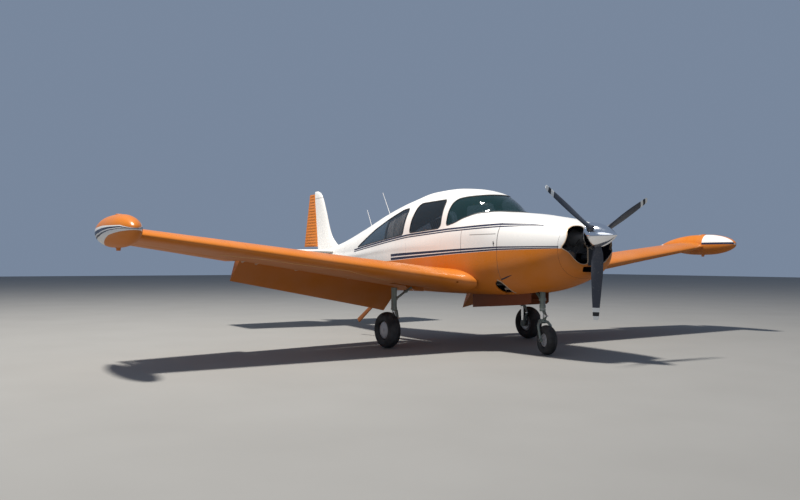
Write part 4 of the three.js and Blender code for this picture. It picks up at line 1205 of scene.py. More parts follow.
foot, length = SPINNER_BASE + PLATE_DEPTH, SPINNER_TIP - SPINNER_BASE - PLATE_DEPTH
curve = [(foot, 0.0), (foot, SPINNER_RADIUS)]
curve += [(foot + t * length, SPINNER_RADIUS * (1 - t ** 1.9)) for t in (k / 44 for k in range(1, 45))]
spinner = turned("spinner_skin", curve, (0, 0, PROP_Z), (1, 0, 0), 96)
collars, screws = [], []
for degrees in blade_angles:
    way = Matrix.Rotation(math.radians(degrees), 4, "X") @ Vector((0, 0, 1))
    centre = Vector((PROP_X, 0, PROP_Z))
    cut(spinner, rod("hole", centre + way * 0.085, centre + way * 0.30, 0.050, 48))
    collars.append(spool("collar", COLLAR, centre + way * 0.075, way, 40))
back_plate = spool("back_plate", [(SPINNER_BASE + a, r) for a, r in PLATE], (0, 0, PROP_Z), (1, 0, 0), 96)
for k in range(SCREWS):
    a = 2 * math.pi * (k + 0.5) / SCREWS
    out = Vector((0.12, math.cos(a), math.sin(a))).normalized()
    at = Vector((SPINNER_BASE + 0.024, math.cos(a) * SCREW_RING, PROP_Z + math.sin(a) * SCREW_RING))
    screws.append(turned("screw", SCREW, at, out, 10))
dress(spinner, polished, "propeller", ["spinner"], 40)
dress(back_plate, polished, "propeller", (), 40)
dress(joined("spinner_screws", screws), bare_alloy, "propeller")
dress(joined("blade_collars", collars), bare_alloy, "propeller")
print("spinner with", SCREWS, "screws")

# %% [markdown]
# The real engine is a flat six with finned cylinders. The solids keep it as one block of its real
# size; here it gets what shows through the inlets: fins, rocker covers, tubes and the generator with
# its belt. All of it stays inside the block's room.

# %% The engine
CRANK_Z = 1.500
CYLINDER_X, PORT_SHIFT = (2.815, 3.045, 3.275), 0.045
FINS, LOW_FINS, FIN_PITCH = 20, 11, 0.0098
GENERATOR_AT, STARTER_AT = (3.395, -0.205, 1.300), (3.375, 0.205, 1.290)
NOSE_CASE = [(0, 0.125), (0.06, 0.115), (0.13, 0.075), (0.24, 0.066), (0.262, 0.085), (0.275, 0.085)]
GENERATOR = [(0, 0.052), (0.008, 0.062), (0.15, 0.062), (0.158, 0.052)]
STARTER = [(0, 0.045), (0.008, 0.052), (0.17, 0.052), (0.178, 0.04)]
PULLEY = [(0, 0.048), (0.004, 0.048), (0.010, 0.038), (0.016, 0.048), (0.020, 0.048)]


def finned_cylinder(x, side):
    profile = [(0.0, 0.070)]
    for k in range(FINS):
        core, tall = (0.060, 0.078) if k < LOW_FINS else (0.074, 0.090)
        start = 0.014 + k * FIN_PITCH
        profile += [(start, core), (start + 0.0015, tall), (start + 0.0040, tall), (start + 0.0055, core)]
    profile.append((0.215, 0.070))
    return spool("cylinder", profile, (x, side * 0.128, CRANK_Z), (0, side, 0), 28)


def rounded_block(name, corner, opposite, bevel, segments=3):
    piece = block(name, corner, opposite)
    modifier = piece.modifiers.new("bevel", "BEVEL")
    modifier.width, modifier.segments, modifier.limit_method = bevel, segments, "NONE"
    return settle(piece)


def sided(side, *places):
    """Places given for the port side, on either side."""
    return [(x, side * y, z) for x, y, z in places]


castings = [
    rounded_block("crankcase", (2.700, -0.135, 1.400), (3.425, 0.135, 1.588), 0.030),
    rounded_block("sump", (2.780, -0.150, 1.150), (3.330, 0.150, 1.395), 0.040),
    rounded_block("accessory_case", (2.640, -0.120, 1.200), (2.698, 0.120, 1.570), 0.015),
    spool("nose_case", NOSE_CASE, (3.430, 0, PROP_Z - 0.012), (1, 0, 0.02), 40),
    spool("generator", GENERATOR, GENERATOR_AT, (1, 0, 0), 36),
    spool("starter", STARTER, STARTER_AT, (1, 0, 0), 36),
]
darks, steels = [], []
for side, _ in SIDES:
    for x in CYLINDER_X:
        x += PORT_SHIFT if side > 0 else 0.0
        castings.append(finned_cylinder(x, side))
        castings.append(rounded_block("rocker_cover", (x - 0.062, side * 0.346, CRANK_Z - 0.058),
                                      (x + 0.062, side * 0.398, CRANK_Z + 0.058), 0.014))
        for at in (x - 0.028, x + 0.028):
            steels.append(tube("pushrod_cover", sided(side, (at, 0.13, 1.408), (at, 0.36, 1.432)), 0.011, 10))
        at = x - 0.02
        darks.append(tube("intake", sided(side, (at, 0.14, 1.25), (at, 0.23, 1.24), (at, 0.31, 1.29),
                                          (at, 0.335, 1.42)), 0.019, 14))
        steels.append(tube("exhaust_stub", sided(side, (x + 0.03, 0.345, 1.43), (x + 0.03, 0.37, 1.36),
                                                 (x, 0.36, 1.285)), 0.021, 14))
        darks.append(tube("spark_lead", sided(side, (x, 0.30, 1.586), (x - 0.05, 0.22, 1.592),
                                              (x - 0.16, 0.08, 1.592)), 0.0045, 8))
    steels.append(tube("manifold", sided(side, (3.34, 0.36, 1.280), (2.80, 0.36, 1.275), (2.70, 0.33, 1.22),
                                         (2.72, 0.22, 1.05), (2.79, 0.19, 0.912)), 0.027, 18))
steels.append(spool("generator_pulley", PULLEY, (3.556, *GENERATOR_AT[1:]), (1, 0, 0), 36))
darks.append(tube("belt", [(3.566, -0.250, 1.285), (3.566, -0.105, 1.46), (3.566, -0.062, 1.50)], 0.007, 8))
darks.append(tube("belt_return", [(3.566, -0.175, 1.262), (3.566, -0.03, 1.440)], 0.007, 8))
baffle = common(block("baffle", (3.428, -0.43, 1.33), (3.432, 0.43, 1.60)), hull(0.03))
gaps = [block("gap", (3.3, y, 1.40), (3.6, y + 0.15, 1.59)) for y in (-0.30, 0.15)]
darks.append(cut(baffle, *gaps))
duct = rounded_block("air_duct", (3.437, -0.352, 1.455), (3.462, -0.312, 1.605), 0.006)
dress(duct, bare_alloy, "airframe")
engine = joined("engine_castings", castings)
dress(engine, cast_metal, "airframe", ["engine_block"])
dress(joined("engine_steel_tubes", steels), exhaust_steel, "airframe")
dress(joined("engine_hoses_and_baffle", darks), black_trim, "airframe")
print("engine: six cylinders,", len(engine.data.polygons), "faces in the castings")

# %% [markdown]
# Openings in a cowl are edged with a bent strip, so that they do not crack. Each strip here is the
# part of a thin shell that lies between a slightly larger and a slightly smaller opening.

# %% Lips of inlets and outlets, exhaust pipes
lip_shell = shell(-0.003, 0.017)


def front_ring(outline, low_x=3.49, high_x=3.9):
    return cut(front_plate("ring", grown(outline, 0.0015), low_x, high_x),
               front_plate("hole", grown(outline, -0.0045), low_x - 0.1, high_x + 0.1))


worn_edge = metal("worn_edge", (0.60, 0.45, 0.32), 0.35, 50, 0.0005, metallic=0.3)
lips = [common(twin(lip_shell, "lip"), front_ring(o)) for o in (CHEEK_INLET, other_side(CHEEK_INLET))]
dress(joined("inlet_lips", lips), worn_edge, "airframe")
chin_lip = common(twin(lip_shell, "chin_lip"), front_ring(CHIN_INLET))
dress(chin_lip, orange_paint, "airframe")
outlet_rings = []
for start, end in OUTLETS:
    ring = cut(rod("ring", start, end, 0.112, 48), rod("hole", start, end, 0.0935, 48))
    front_half = block("front_half", (2.525, -1, 0.5), (2.9, 1, 1.2))
    outlet_rings.append(common(twin(lip_shell, "outlet_lip"), ring, front_half))
dress(joined("outlet_lips", outlet_rings), worn_edge, "airframe")
drop(lip_shell)
for side, name in SIDES:
    start, end = (Vector(place) for place in sided(side, (2.790, 0.190, 0.910), (2.520, 0.366, 0.863)))
    bore = rod("bore", start.lerp(end, 0.3), start.lerp(end, 1.2), 0.0215, 32)
    pipe = cut(rod(f"pipe_{name}", start, end, 0.0245, 32), bore)
    dress(pipe, exhaust_steel, "airframe", [f"exhaust_{name}"])
# The chin trunk is a near-black box: painted shade inside the chin inlet.
chin_trunk = cut(block("trunk", (3.30, -0.150, 1.088), (3.66, 0.150, 1.167)),
                 block("inside", (3.32, -0.145, 1.093), (3.7, 0.145, 1.162)))
dress(common(chin_trunk, hull(0.016)), dark_void, "airframe")
wall = common(block("firewall_sheet", (2.588, -1, 0), (FIREWALL_X, 1, 3)), hull(0.0150))
cut(wall, *belly_openings())
dress(wall, bare_alloy, "airframe", ["firewall"])
print("lips, pipes and firewall made")

# %% [markdown]
# Tyres of small aircraft have plain grooves round the tread, which let water out from under them.
# Such a tread is the same all the way round the axle, so a lathe makes it in one go.

# %% Tyres
MAIN_WHEEL = {"radius": 0.255, "width": 0.180, "rim": 0.122}
NOSE_WHEEL = {"radius": 0.195, "width": 0.135, "rim": 0.088}
MAIN_GROOVES, NOSE_GROOVES = (-0.048, -0.016, 0.016, 0.048), (-0.026, 0.0, 0.026)
# Columns: share of the half width, height above the rim
TYRE_FOOT = [(0.62, 0.0005), (0.80, 0.004), (0.9, 0.014)]
TRACK_Y = 1.340
STEER_X, STEER_FORWARD, STEER_TURN = 2.845, 0.110, math.radians(-14)
heading = Vector((math.cos(STEER_TURN), math.sin(STEER_TURN), 0))
across = Vector((-math.sin(STEER_TURN), math.cos(STEER_TURN), 0))


def tyre(name, wheel, centre, way, grooves, groove=(0.0075, 0.0055)):
    half, rim = wheel["width"] / 2, wheel["rim"]
    middle = rim + (wheel["radius"] - rim) * 0.42
    wide, deep = groove
    marks = [0.5 - 0.5 * math.cos(math.pi * k / 40) for k in range(1, 40)]
    along = [(2 * m - 1) * half for m in marks]
    for g in grooves:
        along += [g - wide / 2 - 0.001, g - wide / 2 + 0.001, g + wide / 2 - 0.001, g + wide / 2 + 0.001]
    profile = [(-half * share, rim + rise) for share, rise in TYRE_FOOT]
    for a in sorted(along):
        round_part = max(0.0, 1 - (a / half) ** 2) ** 0.4
        radius = middle + round_part * (wheel["radius"] - middle)
        if any(abs(a - g) < wide / 2 for g in grooves):
            radius -= deep
        if 0.80 < abs(a) / half < 0.84:
            radius += 0.002
        profile.append((a, radius))
    profile += [(half * share, rim + rise) for share, rise in TYRE_FOOT[::-1]]
    # The profile is closed to the axle, and a bore then takes the room of the rim out
    centre, reach = Vector(centre), Vector(way) * half
    bore = rod("bore", centre - reach, centre + reach, rim + 0.0002, 80)
    return cut(spool(name, profile, centre, way, 80), bore)


def nose_at(forward, out, z):
    """A place given from the steering axis: distance forward, distance out to port, and height."""
    return Vector((STEER_X, 0, z)) + heading * forward + across * out


for side, name in SIDES:
    main_tyre = tyre(f"tyre_{name}", MAIN_WHEEL, (WHEEL_X, side * TRACK_Y, MAIN_WHEEL["radius"]), (0, side, 0),
                     MAIN_GROOVES)
    dress(main_tyre, rubber, f"main_wheel_{name}", [f"main_tyre_{name}"], 50)
nose_centre = nose_at(STEER_FORWARD, 0, NOSE_WHEEL["radius"])
nose_tyre = tyre("tyre_nose", NOSE_WHEEL, nose_centre, across, NOSE_GROOVES, (0.006, 0.0045))
dress(nose_tyre, rubber, "nose_wheel", ["nose_tyre"], 50)
print("three tyres made")

# %% [markdown]
# The main wheels have a plain domed cover outside and a brake inside. The nose wheel shows its two
# halves, held together by a ring of bolts. The covers are painted light grey, as in the photograph.

# %% Wheels and brakes
wheel_grey = metal("wheel_enamel", (0.42, 0.42, 0.44), 0.34, 45, 0.0004, metallic=0.25)
MAIN_RIM, NOSE_RIM = 0.1215, 0.0875
# Profiles list (distance out along the axle, radius)
HUB = [(-0.060, 0.034), (-0.040, 0.040), (-0.040, 0.086), (-0.0555, 0.096), (-0.0555, MAIN_RIM - 0.004),
       (-0.0535, MAIN_RIM), (0.0535, MAIN_RIM), (0.0555, MAIN_RIM - 0.004), (0.0555, 0.100), (0.046, 0.096)]
COVER = [(0.0462, 0.1125), (0.0485, 0.1155), (0.053, 0.1165), (0.0575, 0.1140), (0.0605, 0.105), (0.064, 0.080),
         (0.0665, 0.050), (0.0675, 0.026), (0.0675, 0.024), (0.0725, 0.022), (0.0745, 0.016)]
DISC = [(-0.074, 0.098), (-0.072, 0.100), (-0.067, 0.100), (-0.065, 0.098)]
NOSE_HUB = [(-0.034, 0.030), (-0.030, 0.034), (-0.030, 0.062), (-0.0415, 0.070), (-0.0415, NOSE_RIM - 0.003),
            (-0.040, NOSE_RIM), (0.040, NOSE_RIM), (0.0415, NOSE_RIM - 0.003), (0.0415, 0.070), (0.030, 0.062),
            (0.030, 0.034), (0.034, 0.030)]


def bolts(centre, way, ring_radius, at, size, height, count=6):
    middle = Vector(centre) + Vector(way).normalized() * at
    return [spool("bolt", [(0, size), (height, size)], place, way, 6)
            for place in circle(middle, *frame_along(way), ring_radius, count, 0.5)]


def main_wheel(side, name):
    body = f"main_wheel_{name}"
    centre, way = (WHEEL_X, side * TRACK_Y, MAIN_WHEEL["radius"]), (0, side, 0)
    hub = spool(f"wheel_hub_{name}", HUB, centre, way, 64)
    cover = spool(f"wheel_cover_{name}", COVER, centre, way, 64)
    screws = joined(f"wheel_cover_screws_{name}", bolts(centre, way, 0.098, 0.0610, 0.0045, 0.003))
    disc = spool(f"brake_disc_{name}", DISC, centre, way, 56)
    for k in range(6):
        x, z = centre[0] + math.cos(math.pi * k / 3) * 0.062, centre[2] + math.sin(math.pi * k / 3) * 0.062
        cut(disc, rod("hole", (x, side * 1.20, z), (x, side * 1.29, z), 0.012, 20))
    dress(hub, bare_alloy, body, [f"main_rim_{name}"])
    dress(cover, wheel_grey, body)
    dress(screws, bare_alloy, body)
    dress(disc, brake_metal, body)


for side, name in SIDES:
    main_wheel(side, name)
nose_hub = spool("wheel_hub_nose", NOSE_HUB, nose_centre, across, 64)
dress(nose_hub, wheel_grey, "nose_wheel", ["nose_rim"])
nose_bolts = [bolt for way in (across, -across)
              for bolt in bolts(nose_centre, way, 0.048, 0.030, 0.0050, 0.005)]
dress(joined("wheel_bolts_nose", nose_bolts), bare_alloy, "nose_wheel")
print("wheels made, with", len(nose_bolts), "bolts on the nose wheel")

# %% [markdown]
# Each leg is an oil and air spring: a painted barrel, a chromed piston that slides in it, and a pair
# of hinged links that keep the wheel pointing ahead. A side brace locks the leg when it is down.

# %% Main legs
# Profiles list (distance along the axis, radius)
BARREL = [(0, 0), (0, 0.036), (0.02, 0.0385), (0.05, 0.0385), (0.06, 0.034), (0.27, 0.034), (0.285, 0.040),
          (0.33, 0.040), (0.332, 0)]
LEG_FOOT = [(0, 0.034), (0.012, 0.038), (0.075, 0.036), (0.095, 0.030)]
AXLE = [(0, 0), (0, 0.024), (0.045, 0.024), (0.05, 0.022), (0.054, 0)]
UP = (0, 0, 1)


def ring_at(name, half, radius, place, way, sides):
    """A short round piece with a place in its middle."""
    return spool(name, [(-half, radius), (half, radius)], place, way, sides)


def link(name, start, end, wide_start, wide_end, thick=0.010, across_way=(0, 1, 0)):
    """A flat forged arm between two pins, wide at one end and narrow at the other."""
    a, b = Vector(start), Vector(end)
    side = Vector(across_way).normalized()
    face = (b - a).normalized().cross(side).normalized()
    rings = []
    for share in (0.0, 0.1, 0.5, 0.9, 1.0):
        centre, wide = a.lerp(b, share), blend(wide_start, wide_end, share)
        t = thick * (1.0 if 0.05 < share < 0.95 else 0.7)
        rings.append([centre + side * (math.cos(k * math.pi / 6) * wide / 2)
                      + face * (math.sin(k * math.pi / 6) * t) for k in range(12)])
    return loft(name, rings)


def main_leg(side, name):
    x, y = WHEEL_X, side * LEG_Y
    painted = [
        turned("barrel", BARREL, (x, y, 0.520), UP, 40),
        rod("side_tube", (x - 0.062, y, 0.530), (x - 0.062, y, 0.850), 0.0125, 20),
        rod("lug", (x - 0.075, y, 0.545), (x, y, 0.545), 0.014, 20),
        spool("foot", LEG_FOOT, (x, y, 0.205), UP, 36),
        turned("axle", AXLE, (x, y, MAIN_WHEEL["radius"]), (0, side, 0), 30),
        link("upper_link", (x + 0.034, y, 0.535), (x + 0.098, y, 0.418), 0.070, 0.026),
        link("lower_link", (x + 0.098, y, 0.424), (x + 0.030, y, 0.285), 0.026, 0.064),
        tube("low_brace", [(x, y - side * 0.02, 0.686), (x, side * 1.03, 0.796)], 0.016, 20),
        tube("high_brace", [(x, side * 1.034, 0.790), (x, side * 0.930, 0.850)], 0.016, 20),
        ring_at("brace_joint", 0.026, 0.020, (x, side * 1.03, 0.794), (1, 0, 0), 24),
        ring_at("brace_collar", 0.018, 0.046, (x, y, 0.690), UP, 36),
    ]
    bright = [rod("piston", (x, y, 0.290), (x, y, 0.530), 0.0265, 36),
              ring_at("link_pin", 0.024, 0.009, (x + 0.098, y, 0.421), (0, 1, 0), 20)]
    caliper = rounded_block(f"brake_caliper_{name}", (x - 0.045, y + side * 0.030, 0.318),
                            (x + 0.045, y + side * 0.068, 0.368), 0.008)
    way_up = [(x - 0.030, y + side * 0.040, 0.362), (x - 0.044, y + side * 0.022, 0.44), (x - 0.046, y, 0.53),
              (x - 0.043, y, 0.62), (x - 0.043, y, 0.74), (x - 0.040, y, 0.846)]
    line = tube(f"brake_line_{name}", way_up, 0.0045, 10)
    dress(joined(f"leg_{name}", painted), strut_paint, "airframe", [f"main_leg_{name}"])
    dress(joined(f"leg_piston_{name}", bright), chrome, "airframe")
    dress(caliper, cast_metal, "airframe")
    dress(line, black_trim, "airframe")


for side, name in SIDES:
    main_leg(side, name)
print("main legs made")

# %% [markdown]
# The nose leg steers, so its lower half rides on its own body: piston, fork and links turn together.
# The barrel above stays with the aircraft.

# %% Nose leg and fork
NOSE_BARREL = [(0, 0), (0, 0.038), (0.015, 0.042), (0.045, 0.042), (0.055, 0.036), (0.30, 0.036), (0.32, 0.042),
               (0.49, 0.042), (0.50, 0)]
CROWN = [(-0.050, 0.024), (-0.040, 0.028), (0.040, 0.028), (0.050, 0.024)]
leg_out, axle_z = NOSE_WHEEL["width"] / 2 + 0.024, NOSE_WHEEL["radius"]
axle_end = [(0.036, 0.012), (leg_out - 0.01, 0.012), (leg_out + 0.018, 0.012), (leg_out + 0.018, 0.020),
            (leg_out + 0.026, 0.020)]

painted = [turned("barrel", NOSE_BARREL, (STEER_X, 0, 0.600), UP, 40),
           tube("drag_brace", [(STEER_X - 0.02, 0, 0.720), (2.625, 0, 0.915)], 0.018, 20),
           ring_at("brace_collar", 0.02, 0.047, (STEER_X, 0, 0.722), UP, 36)]
dress(joined("nose_barrel", painted), strut_paint, "airframe", ["nose_leg"])
fork = [spool("crown", CROWN, nose_at(0, 0, 0.432), across, 30),
        spool("collar", [(0, 0.036), (0.018, 0.038), (0.040, 0.034)], (STEER_X, 0, 0.425), UP, 36),
        link("steer_link_upper", nose_at(0.020, 0, 0.572), nose_at(0.106, 0, 0.506),
             0.062, 0.024, 0.008, across),
        link("steer_link_lower", nose_at(0.106, 0, 0.512), nose_at(0.026, 0, 0.446),
             0.024, 0.060, 0.008, across),
        spool("steer_collar", [(0, 0.040), (0.028, 0.040)], (STEER_X, 0, 0.566), UP, 36)]
bright = [rod("piston", (STEER_X, 0, 0.455), (STEER_X, 0, 0.598), 0.0295, 36),
          ring_at("link_pin", 0.020, 0.008, nose_at(0.106, 0, 0.509), across, 20)]
for side, _ in SIDES:
    out = side * leg_out
    foot = nose_at(STEER_FORWARD, out, axle_z)
    fork.append(tube("fork_leg", [nose_at(0.004, side * 0.030, 0.434), nose_at(0.024, side * 0.066, 0.420),
                                  nose_at(0.046, out, 0.382), nose_at(0.070, out, 0.310), foot],
                     [0.022, 0.019, 0.017, 0.0165, 0.0165], 20))
    fork.append(ring_at("fork_foot", 0.017, 0.026, foot, across, 30))
    bright.append(spool("axle_end", axle_end, nose_centre, across * side, 24))
dress(joined("nose_fork_forging", fork), strut_paint, "nose_fork", ["nose_fork"])
dress(joined("nose_piston", bright), chrome, "nose_fork")
print("nose gear made")

# %% [markdown]
# The nose wheel's doors are flat plates that hang from hinges along the bay. Plain plates look thin
# and cheap, so each gets two stiffening ribs and three hinge arms on its inner side.

# %% Nose wheel doors
# Columns: height, start and end along the door
DOOR_RIBS = [(0.70, 1.66, 2.70), (0.78, 1.66, 2.74)]
DOOR_HINGES_X = (1.75, 2.15, 2.60)
# The doors' dark red-brown is painted shade: a shaded copy of the orange paint, for doors that hang in the
# body's shadow.
door_shaded_orange = gloss(Finish("door_enamel_painted_shade"), (0.15, 0.034, 0.007), 0.38).material


def repaint(node_name, material):
    """Gives a solid that stays as it is a finish of its own."""
    node = frame["nodes"][node_name]
    node.data.materials.clear()
    node.data.materials.append(material)


def nose_door(side, name):
    repaint(f"nose_door_{name}", door_shaded_orange)
    inner = side * 0.1515
    parts = [rounded_block("rib", (x0, inner, z), (x1, inner - side * 0.007, z + 0.022), 0.003, 2)
             for z, x0, x1 in DOOR_RIBS]
    parts += [rounded_block("hinge_arm", (x, inner, 0.74), (x + 0.022, inner - side * 0.012, 0.862), 0.003, 2)
              for x in DOOR_HINGES_X]
    dress(joined(f"nose_door_ribs_{name}", parts), door_shaded_orange, "airframe")


for side, name in SIDES:
    nose_door(side, name)
print("nose doors dressed")

# %% [markdown]
# The elevator has the same pressed beads as the rudder. Its two halves turn on one tube, and their
# inner ends are cut back aslant, so that the rudder can swing between them.

# %% Elevator
ELEVATOR_BEADS, ELEVATOR_ROOT = 22, 0.095
# The room of the rudder, seen from above
RUDDER_ROOM = [(-3.50, -0.1), (-3.50, 0.095), (-3.56, 0.095), (-4.1, 0.419), (-4.1, -0.1)]


def elevator_ring(y, step):
    out = (y - ELEVATOR_ROOT) / (TAIL_SPAN - ELEVATOR_ROOT)
    return beaded_ring(lambda x, w: (x, y, TAIL_Z + w), TAIL_HINGE_X, blend(-3.985, -3.850, out),
                       blend(0.023, 0.014, out), step, 0.006)


half = beaded_loft("elevator_half", elevator_ring, ELEVATOR_ROOT, TAIL_SPAN, ELEVATOR_BEADS)
cut(half, loft("room", [[(x, y, z) for x, y in RUDDER_ROOM] for z in (1.3, 1.55)]))
other_half = mirrored(half, "elevator_other_half")
torque_tube = rod("torque_tube", (TAIL_HINGE_X, -0.2, TAIL_Z), (TAIL_HINGE_X, 0.2, TAIL_Z), 0.013, 28)
elevator = joined("elevator_skin", [half, other_half, torque_tube])
dress(elevator, plain_white, "elevator", ["elevator"], 40)
print("elevator beads:", ELEVATOR_BEADS, "a side")

# %% [markdown]
# The seats are foam under leather. A cloth simulation swells a closed shape like a balloon, which
# gives the round top and the pulled-in corners of real upholstery. Each point may move only a little
# way, so the seat keeps its size. The sewn channels are pressed in afterwards.

# %% Upholstery
SEAT_CUSHION = [(0.004, 1.098), (0.515, 1.116), (0.526, 1.134), (0.508, 1.206), (0.120, 1.188), (0.010, 1.186)]
SEAT_BACK = [(-0.030, 1.204), (0.100, 1.216), (0.060, 1.330), (-0.070, 1.728), (-0.138, 1.722)]


def swell(piece, cap, pressure=4.0, last_frame=20):
    """Blows a closed piece up with air, and holds each point within cap metres of where it was."""
    before = np.array([v.co for v in piece.data.vertices])
    cloth = piece.modifiers.new("cloth", "CLOTH")
    cloth.settings.quality = 4
    cloth.settings.use_pressure = True
    cloth.settings.uniform_pressure_force = pressure
    cloth.settings.effector_weights.gravity = 0
    cloth.point_cache.frame_start, cloth.point_cache.frame_end = 1, last_frame
    scene = bpy.context.scene
    for frame_number in range(1, last_frame + 1):
        scene.frame_set(frame_number)
    settle(piece)
    scene.frame_set(1)
    after = np.array([v.co for v in piece.data.vertices])
    move = after - before
    far = np.linalg.norm(move, axis=1, keepdims=True)
    after = before + move * np.minimum(1, cap / np.maximum(far, 1e-9))
    piece.data.vertices.foreach_set("co", after.ravel())
    return piece


def upholstered(name, outline, place_x, low_y, high_y, node, channels, voxel=0.012, cap=0.024):
    piece = side_plate(name, [(x + place_x, z) for x, z in outline], low_y + 0.012, high_y - 0.012)
    remesh = piece.modifiers.new("remesh", "REMESH")
    remesh.mode, remesh.voxel_size = "VOXEL", voxel
    settle(piece)
    swell(piece, cap)
    piece.modifiers.new("smooth", "SUBSURF").levels = 1
    settle(piece)
    points = np.array([v.co for v in piece.data.vertices])
    normals = np.array([v.normal for v in piece.data.vertices])
    middle = (low_y + high_y) / 2
    for k in range(channels):
        line = low_y + (high_y - low_y) * (k + 1) / (channels + 1)
        press = 0.007 * np.exp(-((points[:, 1] - line) / 0.007) ** 2)
        points -= normals * (press * (normals[:, 2] + normals[:, 0] > 0.5))[:, None]
    points[:, 1] = np.clip(points[:, 1], low_y, high_y)
    piece.data.vertices.foreach_set("co", points.ravel())
    dress(piece, leather, "airframe", [node], 60)
    return piece


# Columns: name, place along, lowest and highest y, number of channels
SEATS = [("front_left", 0.900, 0.035, 0.500, 4), ("front_right", 0.900, -0.500, -0.035, 4),
         ("rear", 0.0, -0.430, 0.430, 8)]
for name, place_x, low_y, high_y, channels in SEATS:
    for kind, outline in (("cushion", SEAT_CUSHION), ("back", SEAT_BACK)):
        upholstered(f"seat_{kind}_{name}", outline, place_x, low_y, high_y, f"seat_{name}", channels)
    frame_parts = []
    for y in (low_y + 0.06, high_y - 0.06):
        frame_parts += [rod("rail", (place_x + 0.02, y, 1.086), (place_x + 0.50, y, 1.094), 0.010, 12),
                        rod("leg", (place_x + 0.06, y, 0.932), (place_x + 0.10, y, 1.088), 0.009, 12),
                        rod("leg", (place_x + 0.46, y, 0.932), (place_x + 0.40, y, 1.092), 0.009, 12)]
    dress(joined(f"seat_frame_{name}", frame_parts), bare_alloy, "airframe")
print("seats:", [s[0] for s in SEATS], "simulated")

# %% [markdown]
# The cabin is seen only through tinted glass, but a bare shell behind glass looks empty. So there is
# a carpeted floor, a padded panel top, dials with bezels, two control wheels and a radio stack.

# %% Floor and instrument panel
PANEL_X, RADIO_X, PANEL_INSET = 1.962, 1.945, 0.034
RADIO_ROWS = (1.735, 1.680, 1.625, 1.570)
# Columns: y, height, radius
DIALS = [(0.16 + 0.11 * k, z, 0.040) for k in range(3) for z in (1.705, 1.590)]
DIALS += [(-0.20 - 0.075 * k, z, 0.027) for k in range(3) for z in (1.73, 1.65, 1.57)]
SMALL_KNOB = [(0, 0), (0, 0.008), (0.014, 0.007), (0.015, 0)]
LARGE_KNOB = [(0, 0.011), (0.030, 0.010), (0.034, 0.006)]
AFT = (-1, 0, 0)
repaint("cabin_floor", carpet)
panel_face = dull("panel_face", (0.050, 0.053, 0.056), 0.5, 200, 0.0004)
dial_face = dull("dial_face", (0.006, 0.006, 0.007), 0.25, 60, 0.0001)
panel = rounded_block("panel_plate", (PANEL_X, -0.62, 1.332), (1.988, 0.62, 1.832), 0.004, 2)
common(panel, hull(PANEL_INSET))
bezels, faces = [], []
for y, z, radius in DIALS:
    bezel = spool("bezel", [(0, radius), (0.008, radius - 0.003)], (PANEL_X, y, z), AFT, 32)
    bezels.append(cut(bezel, rod("glass", (1.958, y, z), (1.940, y, z), radius - 0.007, 32)))
    faces.append(spool("dial", [(0, radius - 0.008), (0.001, radius - 0.008)], (1.9585, y, z), AFT, 32))
radios = [rounded_block("radio", (RADIO_X, -0.10, z), (1.970, 0.07, z + 0.046), 0.003, 2) for z in RADIO_ROWS]
radios += [turned("knob", SMALL_KNOB, (RADIO_X, y, z + 0.023), AFT, 16)
           for z in RADIO_ROWS for y in (-0.085, 0.055)]
radios += [spool("knob", LARGE_KNOB, (PANEL_X, y, 1.47), AFT, 20) for y in (-0.05, 0.0, 0.05)]
shelf = rounded_block("panel_top", (1.935, -0.62, 1.803), (2.540, 0.62, 1.835), 0.008)
common(shelf, hull(PANEL_INSET))
dress(panel, panel_face, "airframe", ["instrument_panel"])
dress(joined("instrument_bezels", bezels + radios), black_trim, "airframe")
dress(joined("instrument_faces", faces), dial_face, "airframe")
dress(shelf, black_trim, "airframe", ["instrument_panel"])

# Each horn of a control wheel: place along, distance from the middle, height and radius
HORN = [(1.740, 0, 1.588, 0.009), (1.740, 0.085, 1.588, 0.010), (1.740, 0.118, 1.593, 0.012),
        (1.740, 0.138, 1.612, 0.0125), (1.740, 0.149, 1.640, 0.0125), (1.742, 0.150, 1.668, 0.010)]
for side, name in SIDES:
    y = side * 0.270
    wheel = [rod("shaft", (1.955, y, 1.560), (1.745, y, 1.585), 0.011, 16),
             rounded_block("boss", (1.728, y - 0.030, 1.574), (1.752, y + 0.030, 1.606), 0.008)]
    for way, _ in SIDES:
        horn = [(x, y + way * out, z) for x, out, z, _ in HORN]
        wheel.append(tube("horn", horn, [row[3] for row in HORN], 16))
    wheel = joined(f"wheel_and_shaft_{name}", wheel)
    dress(wheel, black_trim, "airframe", [f"control_wheel_{name}"])
print("dials:", len(DIALS))

# %% [markdown]
# Grey curtains hang in the front part of each rear window. A pleated sheet is a wave that follows the
# body's side at a fixed depth under the skin; a few added slower waves keep the pleats uneven.

# %% Curtains
CURTAIN_DEPTH, CURTAIN_X, FOLD_DEPTH, PLEAT = 0.041, -0.268, 0.0062, 0.047
CURTAIN_COLUMNS, CURTAIN_ROWS = 190, 20


